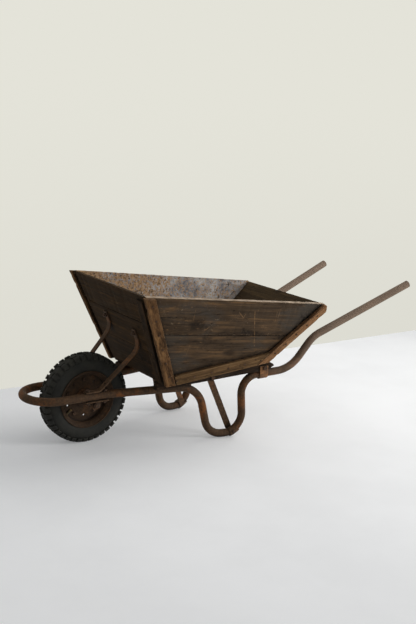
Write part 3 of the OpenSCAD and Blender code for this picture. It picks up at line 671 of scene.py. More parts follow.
@dataclass(frozen=True)
class RubbedAndLitIron(RustedIron):
    """Rusted tube that turns greyer and lighter towards the grips: rust rubbed by hands, and painted light
    on the lit arms.

    Attributes:
        handled_and_lit: The greyer, lighter colour of the grips, rubbed rust with painted light.
        start: Where along X the rubbed colour with its painted light starts, in metres.
        full: Where along X it is complete, in metres.
        blur: How far blotches move that place either way, in metres.
    """

    handled_and_lit: Colour = srgb("84705f")
    start: float = 0.05
    full: float = 0.55
    blur: float = 0.12

    def rubbed(self, g: Graph, where: Socket, rust: Outputs, colour: Socket) -> Socket:
        """Fades the rust to the rubbed colour with its painted light towards the grips."""
        ragged = g.between(rust["Blotch"], -self.blur, self.blur)
        share = g.step(g.plus(g.axis(where, "X"), ragged), self.start, self.full)
        kept = g.between(g.step(rust["Crust"], 0.34, 0.62), 0.80, 0.93)
        # The grips turn greyer from rubbing and lighter from painted light.
        return g.mix(g.times(share, kept), colour, self.handled_and_lit)


class Grain(Enum):
    """Which way a board's grain runs, as turns about Y and Z that lay the pattern's first axis along it."""

    LONG = (0.0, 0.0)
    CROSS = (0.0, math.pi / 2)
    FRONT_SLOPE = (math.radians(-65.54), 0.0)
    REAR_SLOPE = (math.radians(40.0), 0.0)
    FLOOR_SLOPE = (math.radians(7.0), 0.0)
    RIM_SLOPE = (math.radians(-4.63), 0.0)

    def turn(self) -> Matrix:
        """The turn as a matrix."""
        about_y, about_z = self.value
        return Matrix.Rotation(about_y, 3, "Y") @ Matrix.Rotation(about_z, 3, "Z")


GREYING = Spots(6.5, 6.0, 0.62, 0.5, 0.80, 0.96)
SOAKING = Spots(9.5, 7.0, 0.66, 0.6, 0.76, 0.84)
GLOWING = Spots(16.0, 5.0, 0.65, 0.0, 0.52, 0.70)
SHREDS = Spots(150.0, 4.0, 0.7, 0.3, 0.60, 0.68)
SHRED_ZONES = Spots(12.0, 5.0, 0.65, 0.0, 0.44, 0.62)
BLOTS = Spots(46.0, 5.0, 0.7, 0.4, 0.62, 0.69)
TOP_PATCHES = Spots(26.0, 5.0, 0.65, 0.0, 0.32, 0.6)
SHIFT_SHARES = (1.0, 1.7, 0.6)
SMEAR = 0.45  # scale along the grain, which draws the stains out
SHRED_SMEAR = 0.30


@dataclass(frozen=True)
class Timber(Finish):
    """Old timber, stained and worn, with its grain along the board.

    Attributes:
        grain: Which way the grain runs.
        dark: Stain in the grain.
        body: The common colour.
        light: The high fibres.
        edge: Bare wood on worn edges.
        stain: Colour of the big dark stains.
        crack: Colour of the drying cracks.
        dirt_and_shade: Colour of the dirt and painted shade in the corners.
        stained: Share of the surface in those stains.
        scuffed: Strength of the pale scratches.
        relief: Depth of the weathered grain, in metres.
        shift: Offset of the pattern, so that boards differ.
        weather: Colour of the greyed patches.
        weathered: Share of the surface that has greyed.
        rubbed: Strength of the bare wood on worn edges.
        edge_width: Width of the worn edges, in metres.
        dirt_and_shade_reach: How far the dirt and painted shade spread from a corner, in metres.
        flecked: Strength of the small bare flecks.
        fleck: Colour of those flecks.
        streaked: Strength of the light streaks along the grain.
        top: How far the edge that faces up has paled, from 0 to 1, by wear and a painted highlight.
        top_worn_and_lit_tone: The colour that it pales to.
    """

    grain: Grain = Grain.LONG
    dark: Colour = srgb("221710")
    body: Colour = srgb("4a3827")
    light: Colour = srgb("6a5138")
    edge: Colour = srgb("8d6b49")
    stain: Colour = srgb("1b140f")
    crack: Colour = srgb("0b0806")
    dirt_and_shade: Colour = srgb("0d0906")
    stained: float = 0.45
    scuffed: float = 0.6
    relief: float = 0.0016
    shift: float = 0.0
    weather: Colour = srgb("4b443c")
    weathered: float = 0.4
    rubbed: float = 0.7
    edge_width: float = 0.004
    dirt_and_shade_reach: float = 0.032
    flecked: float = 0.6
    fleck: Colour = srgb("7f6040")
    streaked: float = 0.6
    top: float = 0.0
    top_worn_and_lit_tone: Colour = srgb("b7a48f")

    def laid(self, g: Graph, where: Socket) -> Socket:
        """The place with its first axis along the board's grain."""
        mapping = g.add("Mapping", vector_type="POINT")
        g.feed(mapping.inputs["Vector"], where)
        mapping.inputs["Rotation"].default_value = self.grain.turn().to_euler()
        mapping.inputs["Location"].default_value = tuple(self.shift * share for share in SHIFT_SHARES)
        return mapping.outputs[0]

    def wood(self, g: Graph, where: Socket, along: Socket, grain: Outputs) -> Socket:
        """The bare timber's colour.

        Args:
            g: The material's graph.
            where: The place on the barrow.
            along: The place along the grain.
            grain: The outputs of the grain effect.

        Returns:
            The colour.
        """
        tone = g.blend([(grain["Streaks"], 0.46), (grain["Fibres"], 0.42), (grain["Rings"], 0.12)])
        colour = g.ramp(tone, [(0.30, self.dark), (0.51, self.body), (0.76, self.light)])
        smeared = g.squeeze(along, SMEAR, 1.0)
        grown = 0.6 * self.weathered
        colour = g.over(colour, self.weather, g.spots(smeared, GREYING, grown, grown), 0.8)
        soaked = g.spots(smeared, SOAKING, 0.45 * self.stained, 0.40 * self.stained)
        colour = g.over(colour, self.stain, soaked, 0.72)
        glow = g.times(g.spots(smeared, GLOWING), g.step(grain["Streaks"], 0.42, 0.62))
        colour = g.over(colour, self.light, glow, self.streaked)
        flecks = g.times(
            g.spots(g.squeeze(along, SHRED_SMEAR, 1.0), SHREDS), g.spots(smeared, SHRED_ZONES)
        )
        colour = g.over(colour, self.fleck, flecks, self.flecked)
        colour = g.over(colour, self.stain, g.spots(smeared, BLOTS), 0.7)
        colour = g.over(colour, self.dark, grain["Knots"], 0.7)
        colour = g.over(colour, self.crack, grain["Cracks"], 0.85)
        # Corners and joints are darkened where ambient occlusion is low: dirt, and painted shade.
        corners = CORNER_DIRT_AND_SHADE.put(g, Vector=where, Reach=self.dirt_and_shade_reach)["Mask"]
        return g.over(colour, self.dirt_and_shade, corners, 0.88)

    def worn(self, g: Graph, where: Socket, colour: Socket, edges: Socket) -> Socket:
        """Bares the edges, and pales the one that faces up: wear where loads were tipped over it, and a
        painted highlight.
        """
        colour = g.over(colour, self.edge, edges, self.rubbed)
        if self.top <= 0.0:
            return colour
        # Paler where the face looks up: worn wood, and a painted highlight along the top edge.
        level = g.step(g.axis(g.flat_normal(), "Z"), 0.55, 0.85)
        patchy = g.between(g.spots(where, TOP_PATCHES), 0.35, 1.0)
        return g.over(colour, self.top_worn_and_lit_tone, g.times(level, patchy), self.top)

    def face(
        self, g: Graph, where: Socket, grain: Outputs, dents: Socket, colour: Socket
    ) -> tuple[Socket, Socket, Socket]:
        """What shows on the board's faces.

        Args:
            g: The material's graph.
            where: The place on the barrow.
            grain: The outputs of the grain effect.
            dents: Mask of the small dents.
            colour: The timber's colour so far.

        Returns:
            The colour, the roughness and the height.
        """
        colour = g.over(colour, self.light, dents, 0.5 * self.scuffed)
        height = g.minus(grain["Height"], g.times(dents, 0.4))
        return colour, g.between(grain["Streaks"], 0.66, 0.94), height

    def paint(self, g: Graph, skin: Node) -> None:
        """Scratched timber with worn edges."""
        where = g.place()
        along = self.laid(g, where)
        grain = GRAIN.put(g, Vector=along)
        wear = EDGE_WEAR.put(g, Vector=where, Radius=self.edge_width)
        scuffs = SCUFFS.put(g, Vector=where)
        colour = self.wood(g, where, along, grain)
        colour = g.over(colour, self.edge, scuffs["Scratches"], self.scuffed)
        colour, rough, height = self.face(g, where, grain, scuffs["Dents"], colour)
        colour = self.worn(g, where, colour, wear["Mask"])
        g.coat(skin, colour, rough, g.bump(height, self.relief, 0.8, wear["Normal"]), WOOD_SHINE)


FLAKES = Noise(88.0, 6.0, 0.72, 0.5)
FLAKE_DRIFT = Noise(6.0, 4.0, 0.6)
FLAKE_DRIFT_SIZE = 0.34
SHADED_SPAN: Band = (-0.55, 0.25)  # where along X the paint goes from well worn to well kept
SHADED_GAIN: Band = (-0.10, 0.07)
CHALK = Noise(17.0, 6.0, 0.68, 0.3)
BARE_TONES = Noise(95.0, 5.0, 0.68)
TAN_SPECKS = Spots(120.0, 4.0, 0.7, 0.0, 0.49, 0.56)
DARK_SPECKS = Spots(52.0, 5.0, 0.7, 0.3, 0.58, 0.65)


@dataclass(frozen=True)
class FlakedPaint(Timber):
    """Timber whose inner face still holds old paint that is flaking off.

    Attributes:
        inward: The direction that the painted face looks in.
        paint_dark: Old paint, shaded.
        paint_middle: Its common colour.
        paint_light: Old paint, chalky.
        bare_dark: Wood under the paint, at its darkest.
        bare_middle: Its common colour.
        speck: Rust-stained wood that shows through.
        soot: Colour of the dark specks.
        cover: Share of the painted face still covered.
        strokes: The single scratches, as X and Z of both ends in metres and a strength.
        stroke_tone: Their colour.
        split: Colour of the drying cracks on the painted face.
    """

    inward: tuple[float, float, float] = (0.0, -1.0, 0.0)
    paint_dark: Colour = srgb("50565f")
    paint_middle: Colour = srgb("9a9796")
    paint_light: Colour = srgb("c6c3bf")
    bare_dark: Colour = srgb("443428")
    bare_middle: Colour = srgb("856b53")
    speck: Colour = srgb("b8956f")
    soot: Colour = srgb("262422")
    cover: float = 0.52
    strokes: tuple[tuple[float, float, float, float, float], ...] = ()
    stroke_tone: Colour = srgb("94714d")
    split: Colour = srgb("100c09")

    def lining(self, g: Graph, where: Socket, cracks: Socket) -> tuple[Socket, Socket]:
        """The painted face.

        Args:
            g: The material's graph.
            where: The place on the barrow.
            cracks: Mask of the drying cracks.

        Returns:
            Its colour, and a mask of where paint is left.
        """
        drift = g.between(g.step(g.axis(where, "X"), *SHADED_SPAN), *SHADED_GAIN)
        drift = g.plus(drift, g.swing(g.noise(where, FLAKE_DRIFT), FLAKE_DRIFT_SIZE))
        flakes = g.plus(g.noise(where, FLAKES), drift)
        held = g.step(flakes, 0.97 - self.cover, 1.04 - self.cover)
        chalk = [(0.34, self.paint_dark), (0.50, self.paint_middle), (0.68, self.paint_light)]
        tones = [(0.36, self.bare_dark), (0.47, self.bare_middle), (0.60, self.speck)]
        coat = g.ramp(g.noise(where, CHALK), chalk)
        bare = g.ramp(g.noise(where, BARE_TONES), tones)
        tan = g.minus(g.noise(where, TAN_SPECKS), g.times(drift, 0.4))
        colour = g.mix(held, bare, coat)
        colour = g.over(colour, self.speck, g.step(tan, TAN_SPECKS.low, TAN_SPECKS.high), 0.75)
        colour = g.over(colour, self.soot, g.spots(where, DARK_SPECKS), 0.75)
        return g.over(colour, self.split, cracks, 0.85), held

    def face(
        self, g: Graph, where: Socket, grain: Outputs, dents: Socket, colour: Socket
    ) -> tuple[Socket, Socket, Socket]:
        """Single scratches on the bare timber, and paint flakes on the face that looks inwards."""
        for x0, z0, x1, z1, strength in self.strokes:
            mark = STROKE.put(g, Vector=where, From=(x0, 0.0, z0), To=(x1, 0.0, z1))["Mask"]
            colour = g.over(colour, self.stroke_tone, mark, strength)
        facing = g.vector("DOT_PRODUCT", g.flat_normal(), self.inward).outputs["Value"]
        inside = g.step(facing, 0.75, 0.85)
        lining, held = self.lining(g, where, grain["Cracks"])
        height = g.plus(grain["Height"], g.times(g.times(held, inside), 0.5))
        return g.mix(inside, colour, lining), g.between(held, 0.88, 0.70), height


RUBBER_MOTTLE = Noise(34.0, 5.0, 0.65)
RUBBER_GRAIN = Noise(260.0, 3.0, 0.6)


@dataclass(frozen=True)
class DustyRubber(Finish):
    """Perished tyre rubber under grey-brown dust.

    Attributes:
        black: The rubber.
        faded: Rubber that has greyed.
        rubbed: Its worn edges.
        dusty: Its dust.
        film: How much dust lies on it, from 0 to 1.
        edge_width: Width of the worn edges, in metres.
        relief: Depth of its texture, in metres.
    """

    black: Colour = srgb("151513")
    faded: Colour = srgb("232320")
    rubbed: Colour = srgb("383630")
    dusty: Colour = srgb("3f3d35")
    film: float = 0.55
    edge_width: float = 0.0025
    relief: float = 0.0007

    def paint(self, g: Graph, skin: Node) -> None:
        """Black rubber with dust in patches, thickest on what faces up."""
        where = g.place()
        dust = DUST.put(g, Vector=where)
        wear = EDGE_WEAR.put(g, Vector=where, Radius=self.edge_width)
        mottle = g.noise(where, RUBBER_MOTTLE)
        cover = g.times(g.plus(dust["Film"], dust["Settled"]), self.film, clamp=True)
        colour = g.ramp(mottle, [(0.3, self.black), (0.7, self.faded)])
        colour = g.over(colour, self.dusty, cover, 0.8)
        colour = g.over(colour, self.rubbed, wear["Mask"], 0.35)
        height = g.blend([(mottle, 0.5), (g.noise(where, RUBBER_GRAIN), 0.5)])
        normal = g.bump(height, self.relief, 0.7, wear["Normal"])
        g.coat(skin, colour, g.between(cover, 0.72, 0.97), normal, RUBBER_SHINE)


TARNISH = Noise(70.0, 5.0, 0.65)


@dataclass(frozen=True)
class DullBrass(Finish):
    """Brass or bronze gone brown and green.

    Attributes:
        bright: Rubbed metal.
        brown: Old tarnish.
        green: Verdigris.
        edge_width: Width of the rubbed edges, in metres.
        relief: Depth of the tarnish, in metres.
    """

    bright: Colour = srgb("a08450")
    brown: Colour = srgb("4c3c26")
    green: Colour = srgb("55604a")
    edge_width: float = 0.0008
    relief: float = 0.0003

    def paint(self, g: Graph, skin: Node) -> None:
        """Tarnish in patches over rubbed metal."""
        where = g.place()
        patch = g.noise(where, TARNISH)
        wear = EDGE_WEAR.put(g, Vector=where, Radius=self.edge_width)
        colour = g.ramp(patch, [(0.32, self.green), (0.46, self.brown), (0.68, self.bright)])
        colour = g.mix(wear["Mask"], colour, self.bright)
        g.feed(skin.inputs["Metallic"], g.between(patch, 0.2, 0.9))
        normal = g.bump(patch, self.relief, 0.6, wear["Normal"])
        g.coat(skin, colour, g.between(patch, 0.75, 0.4), normal, BRASS_SHINE)


# ---------------------------------------------------------------- boards


SAME_PLACE = 2e-5  # corners closer than this are one, in metres
FLAT_ANGLE = math.radians(1.5)  # edges flatter than this are dissolved
SHARP_ANGLE = 0.5  # edges bent more than this are rounded, in radians
CORNER_ANGLE = 0.15  # corners bent more than this are nibbled, in radians
WAVE_SCALE = 16.0  # long waves to a metre
WAVE_SHARE = 0.35  # their depth as a share of the deepest bite
BITE_SCALE = 55.0  # small bites to a metre
BITE_LEVEL = 0.12  # noise level at which a bite starts
BITE_GAIN = 1.6


@dataclass
class WornBoard:
    """A board rebuilt from its frame solid with rounded, nibbled edges.

    Attributes:
        node: The frame node that it stands for.
        along: Direction of the board's length.
        slot: The record's material slot; not used.
        finish: Its finish.
        round_off: Width of the rounded edges, in metres.
        step: Distance between the cuts along its length, in metres.
        nibble: Deepest bite out of an edge, in metres.
        seed: Offset of the noise, so that boards differ.
    """

    node: str
    along: Vector
    slot: str
    finish: Finish
    round_off: float = 0.0022
    step: float = 0.011
    nibble: float = 0.0022
    seed: float = 0.0

    @staticmethod
    def bend(edge: bmesh.types.BMEdge) -> float:
        """The angle between an edge's two faces, or none where it has not got two."""
        return edge.calc_face_angle(0.0) if len(edge.link_faces) == 2 else 0.0

    def build(self) -> bpy.types.Object:
        """Makes the board and hides the node that it stands for."""
        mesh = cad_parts[self.node].data.copy()
        bm = bmesh.new()
        bm.from_mesh(mesh)
        bmesh.ops.remove_doubles(bm, verts=bm.verts, dist=SAME_PLACE)
        bmesh.ops.dissolve_limit(bm, angle_limit=FLAT_ANGLE, verts=bm.verts, edges=bm.edges)
        sharp = [e for e in bm.edges if self.bend(e) > SHARP_ANGLE]
        bmesh.ops.bevel(
            bm,
            geom=sharp,
            offset=self.round_off,
            offset_type="OFFSET",
            segments=2,
            profile=0.5,
            affect="EDGES",
            clamp_overlap=True,
            material=-1,
        )
        axis = self.along.normalized()
        spans = [v.co.dot(axis) for v in bm.verts]
        low, high = min(spans), max(spans)
        count = max(2, int((high - low) / self.step))
        for i in range(1, count):
            at = axis * (low + (high - low) * i / count)
            geom = bm.verts[:] + bm.edges[:] + bm.faces[:]
            bmesh.ops.bisect_plane(bm, geom=geom, dist=1e-6, plane_co=at, plane_no=axis)
        bm.normal_update()
        moves = []
        for vert in bm.verts:
            corner = max((self.bend(e) for e in vert.link_edges), default=0.0)
            place = vert.co + Vector((self.seed, 0.3 * self.seed, 0.7 * self.seed))
            wave = noise.noise(place * WAVE_SCALE) * 0.5 + 0.5
            bite = max(0.0, noise.noise(place * BITE_SCALE) - BITE_LEVEL) * BITE_GAIN
            depth = self.nibble * (WAVE_SHARE * wave + bite) if corner > CORNER_ANGLE else 0.0
            moves.append((vert, vert.normal * -min(depth, self.nibble)))
        for vert, move in moves:
            vert.co += move
        bm.to_mesh(mesh)
        bm.free()
        mesh.name = self.node + "_worn"
        board = bpy.data.objects.new(self.node + "_worn", mesh)
        bpy.context.scene.collection.objects.link(board)
        self.finish.dress(board)
        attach(board, "frame")
        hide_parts(self.node)
        return board


# ---------------------------------------------------------------- sub-assemblies


@dataclass
class SubAssembly:
    """A group of frame nodes that share how they are dressed.

    Attributes:
        finishes: Finish of each node by name.
    """

    finishes: dict[str, Finish] = field(default_factory=dict)

    def dress(self) -> None:
        """Puts each node's finish on it."""
        for name, finish in self.finishes.items():
            finish.dress(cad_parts[name])
            log.info("dressed %s in %s", name, finish.name)


def sides(stem: str) -> list[str]:
    """The names of a left and right pair."""
    return [stem + "_left", stem + "_right"]


def rusts(deep: str, brown: str, orange: str, worn: str = "8a6a55") -> dict[str, Colour]:
    """The tones of rusted iron, from screen colours."""
    return {"deep": srgb(deep), "brown": srgb(brown), "orange": srgb(orange), "worn": srgb(worn)}


TUBE_RUST = RubbedAndLitIron(
    "tube rust", **rusts("1f150c", "48321e", "7a4820", "6b5137"), pit_depth=0.0020, fresh=0.55
)
BAR_RUST = RustedIron("bar rust", **rusts("21160d", "4b341f", "754824", "7b6048"), fresh=0.5)
CLIP_RUST = RustedIron("clip rust", **rusts("3a281b", "6f4e35", "98693f", "a08467"), fresh=0.6)
FIXING_RUST = RustedIron(
    "fixing rust", **rusts("1b120c", "3b291b", "5a3b22"), pit_depth=0.0006, fresh=0.35
)
WHEEL_RUST = RustedIron("wheel rust", **rusts("1a120a", "3a2716", "5d3c1f", "564431"), fresh=0.38)
HUB_RUST = RustedIron("hub rust", **rusts("19110b", "3c2817", "5a381d"), fresh=0.4)
AXLE_RUST = RustedIron("axle rust", **rusts("19110b", "36271a", "553822"), gloss=0.4)
FIXINGS = (
    "bracket_bolts",
    "bracket_nuts",
    "stay_bolts",
    "foot_rivets",
    "strut_bolts",
    "clip_bolts",
    "axle_nuts",
)


@dataclass
class TubeFrame(SubAssembly):
    """The bent tube and everything of iron that is fixed to it."""

    def __post_init__(self) -> None:
        """Lists the nodes with their finishes."""
        self.finishes = {"frame_tube": TUBE_RUST} | {name: FIXING_RUST for name in FIXINGS}
        for stem in ("axle_bracket", "wheel_stay", "leg_strut"):
            self.finishes |= {name: BAR_RUST for name in sides(stem)}
        self.finishes |= {name: CLIP_RUST for name in sides("rear_clip")}
        self.finishes |= {name: AXLE_RUST for name in ["axle", *sides("axle_spacer")]}


@dataclass
class Wheel(SubAssembly):
    """The wheel, from its hub to its tyre."""

    def __post_init__(self) -> None:
        """Lists the nodes with their finishes."""
        self.finishes = {
            "tyre": DustyRubber("tyre rubber"),
            "inner_tube": DustyRubber("butyl rubber", film=0.15),
            "valve_stem": DullBrass("valve brass"),
            "rim_bolts": FIXING_RUST,
            "rim_nuts": FIXING_RUST,
            "hub": HUB_RUST,
        }
        self.finishes |= {name: WHEEL_RUST for name in sides("rim_half")}
        self.finishes |= {name: DullBrass("bush bronze") for name in sides("hub_bush")}


SCRATCHES = (
    (0.001, 0.564, 0.018, 0.495, 0.8),
    (0.018, 0.495, 0.024, 0.472, 0.4),
    (0.024, 0.472, 0.040, 0.407, 0.65),
    (-0.045, 0.558, -0.053, 0.541, 0.8),
    (-0.053, 0.541, -0.077, 0.564, 0.7),
    (0.123, 0.557, 0.123, 0.511, 0.5),
    (0.139, 0.569, 0.134, 0.529, 0.45),
    (-0.302, 0.590, -0.304, 0.545, 0.3),
    (-0.205, 0.520, -0.235, 0.500, 0.5),
    (-0.296, 0.440, -0.305, 0.393, 0.25),
)


def woods(dark: str, body: str, light: str, edge: str, stain: str) -> dict[str, Colour]:
    """The tones of a timber, from screen colours."""
    texts = {"dark": dark, "body": body, "light": light, "edge": edge, "stain": stain}
    return {name: srgb(text) for name, text in texts.items()}


BATTENS = {  # tones, stained share, pattern shift, deepest bite in metres, seed
    "front": (woods("20140b", "6b4d31", "ab8053", "bd9c76", "150e08"), 0.50, 0.21, 0.0036, 7.0),
    "rear": (woods("3f2c1b", "845f40", "ad8660", "bf9f7d", "24180e"), 0.35, 0.33, 0.0032, 9.0),
    "bottom": (woods("1e150c", "5a442c", "95734e", "ab8b68", "181009"), 0.40, 0.47, 0.0028, 11.0),
}


@dataclass
class Tray:
    """The timber tray with its battens, cleats, bearers and nails.

    Attributes:
        floor_dir: Direction of the floor's slope.
        front_dir: Direction of the front edges.
        rear_dir: Direction of the rear edges.
        rim_dir: Direction of the top edges.
        splay: Outward lean of the sides, in degrees.
    """

    floor_dir: Vector = field(default_factory=lambda: Vector((0.9925, 0, 0.1221)))
    front_dir: Vector = field(default_factory=lambda: Vector((-0.414, 0, 0.910)))
    rear_dir: Vector = field(default_factory=lambda: Vector((0.766, 0, 0.643)))
    rim_dir: Vector = field(default_factory=lambda: Vector((0.9967, 0, -0.0806)))
    splay: float = 11.8

    def side_boards(self, side: str, sign: float) -> list[WornBoard]:
        """The two boards of one side, painted inside and scratched outside."""
        tilt = math.radians(self.splay)
        inward = (0.0, -sign * math.cos(tilt), math.sin(tilt))
        made = []
        for k, part in enumerate(("upper", "lower")):
            top = part == "upper"
            finish = FlakedPaint(
                f"side boards {part} {side}",
                grain=Grain.RIM_SLOPE,
                **woods("241b14", "4c3d2e", "80603f", "b09a80" if top else "7d6247", "1e1814"),
                weather=srgb("45403a"),
                weathered=0.52,
                stained=0.50,
                flecked=0.85,
                streaked=0.28,
                rubbed=0.85 if top else 0.3,
                # The upper board's top edge is paled: wear, and a painted highlight.
                top=0.9 if top else 0.0,
                inward=inward,
                strokes=SCRATCHES if side == "left" else (),
                shift=0.37 * k + 0.11 * sign,
            )
            name = f"side_board_{part}_{side}"
            nibble = 0.0030 if top else 0.0012
            seed = k + 2.0 * sign
            made.append(WornBoard(name, self.rim_dir, "side_wood", finish, nibble=nibble, seed=seed))
        return made

    def battens(self, side: str, sign: float) -> list[WornBoard]:
        """The three battens that frame one side."""
        outward = Vector((0.0, sign * math.sin(math.radians(self.splay)), 0.0))
        lines = {
            "front": (self.front_dir + outward * 0.9, Grain.FRONT_SLOPE),
            "rear": (self.rear_dir + outward * 0.6, Grain.REAR_SLOPE),
            "bottom": (self.floor_dir, Grain.FLOOR_SLOPE),
        }
        made = []
        for part, (tones, stained, shift, nibble, seed) in BATTENS.items():
            along, grain = lines[part]
            finish = Timber(
                f"{part} batten {side}",
                grain=grain,
                stained=stained,
                shift=sign * shift,
                weathered=0.3,
                weather=srgb("574a3b"),
                **tones,
            )
            name = f"{part}_batten_{side}"
            made.append(WornBoard(name, along, "batten_wood", finish, nibble=nibble, seed=seed + sign))
        return made

    def end_boards(self) -> list[WornBoard]:
        """The boards across the front and the rear."""
        across = Vector((0.0, 1.0, 0.0))
        made = []
        for i, part in enumerate(("lower", "middle", "upper")):
            top = part == "upper"
            rim = {"rubbed": 0.7 if top else 0.0, "edge_width": 0.004 if top else 0.001}
            front = Timber(
                f"front board {part}",
                grain=Grain.CROSS,
                **woods("181006", "372716", "583f23", "7d6344" if top else "3c2b19", "120b05"),
                weather=srgb("2d2215"),
                flecked=0.25,
                stained=0.45,
                shift=0.29 * i + 0.05,
                **rim,
            )
            rear = Timber(
                f"rear board {part}",
                grain=Grain.CROSS,
                **woods("231a10", "463826", "68543a", "86694b" if top else "463826", "1b150e"),
                weather=srgb("3f3627"),
                stained=0.42,
                shift=0.31 * i + 0.4,
                **rim,
            )
            for stem, finish, seed in (("front", front, 19.0), ("rear", rear, 23.0)):
                board = WornBoard(f"{stem}_board_{part}", across, f"{stem}_wood", finish, seed=seed + i)
                board.nibble = 0.003 if top else 0.0008
                board.round_off = 0.0022 if top else 0.0010
                made.append(board)
        return made

    def floor_boards(self) -> list[WornBoard]:
        """The boards along the floor."""
        made = []
        for i, part in enumerate(("left", "middle", "right")):
            finish = Timber(
                f"floor board {part}",
                grain=Grain.FLOOR_SLOPE,
                body=srgb("4a3b2b"),
                light=srgb("6d5840"),
                stained=0.4,
                shift=0.61 * i - 0.5,
            )
            name = f"floor_board_{part}"
            made.append(WornBoard(name, self.floor_dir, "floor_wood", finish, seed=15.0 + i))
        return made

    def cleat(self) -> WornBoard:
        """The upright behind the near front corner."""
        finish = Timber(
            "front cleat",
            grain=Grain.FRONT_SLOPE,
            dark=srgb("191109"),
            body=srgb("352719"),
            light=srgb("4f3b27"),
            edge=srgb("5f4a34"),
            stained=0.5,
            shift=0.53,
        )
        return WornBoard("front_cleat", self.front_dir, "cleat_wood", finish, nibble=0.0024, seed=13.0)

    def boards(self) -> list[WornBoard]:
        """Every timber piece, with its finish."""
        made = [self.cleat(), *self.floor_boards(), *self.end_boards()]
        for side, sign in (("left", -1.0), ("right", 1.0)):
            made += self.side_boards(side, sign) + self.battens(side, sign)
        return made

    def build(self) -> None:
        """Makes the boards and dresses the bearers and nails."""
        for board in self.boards():
            made = board.build()
            log.info("built %s with %d faces", made.name, len(made.data.polygons))
        bearer = Timber(
            "bearer timber",
            grain=Grain.FLOOR_SLOPE,
            dark=srgb("120d0a"),
            body=srgb("2e231b"),
            light=srgb("4d3a2b"),
            edge=srgb("5e4938"),
            stained=0.5,
            relief=0.0018,
        )
        for name in sides("bearer"):
            bearer.dress(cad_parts[name])
        for name in sides("nails"):
            FIXING_RUST.dress(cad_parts[name])


# ---------------------------------------------------------------- studio


SENSOR_HEIGHT = 36.0  # millimetres
VIEW_END = 60.0  # metres
LAMP_SPREAD = math.radians(100.0)
FLOOR_SIZE = 14.0  # half the floor's width, in metres
FLOOR_DROP = 0.0008  # how far it lies under the frame's origin, in metres
FLOOR_MOTTLE = Noise(1.6, 6.0, 0.6)
FLOOR_FADE: Band = (2.9, 5.0)  # distances in metres over which it turns to its far tint
WALL_SIZE = 9.0  # half the wall's width, in metres
WALL_SUNK = 0.01  # how far its foot is under the frame's origin, in metres
WALL_RISE: Band = (-0.2, 1.6)  # heights between which the painted shade at the wall's foot lifts to the full tint, in metres
SHADED = 0.93  # share of a tint in its darker parts: the floor's random mottle, and the painted shade at the wall's foot
SKY_TINT = (0.86, 0.87, 0.88)
SKY_STRENGTH = 0.42
TARGET = Vector((0.05, 0.0, 0.35))  # what the lamps are aimed at


@dataclass(frozen=True)
class Lamp:
    """One soft square lamp.

    Attributes:
        name: Its name.
        place: Where it hangs, in metres.
        size: Its width, in metres.
        power: Its energy, in watts.
        tint: Its colour.
    """

    name: str
    place: tuple[float, float, float]
    size: float
    power: float
    tint: Colour

    def build(self) -> None:
        """Hangs the lamp and aims it."""
        lamp = bpy.data.lights.new(self.name, "AREA")
        lamp.size = self.size
        lamp.spread = LAMP_SPREAD
        lamp.energy = self.power
        lamp.color = self.tint
        holder = bpy.data.objects.new(self.name, lamp)
        place = Vector(self.place)
        turn = (TARGET - place).to_track_quat("-Z", "Y").to_matrix().to_4x4()
        holder.matrix_world = Matrix.Translation(place) @ turn
        bpy.context.scene.collection.objects.link(holder)


LAMPS = (
    Lamp("key", (3.2, 0.4, 3.4), 3.0, 36.0, (1.0, 0.985, 0.96)),
    Lamp("side", (4.2, -3.4, 1.9), 1.8, 45.0, (1.0, 0.99, 0.975)),
)


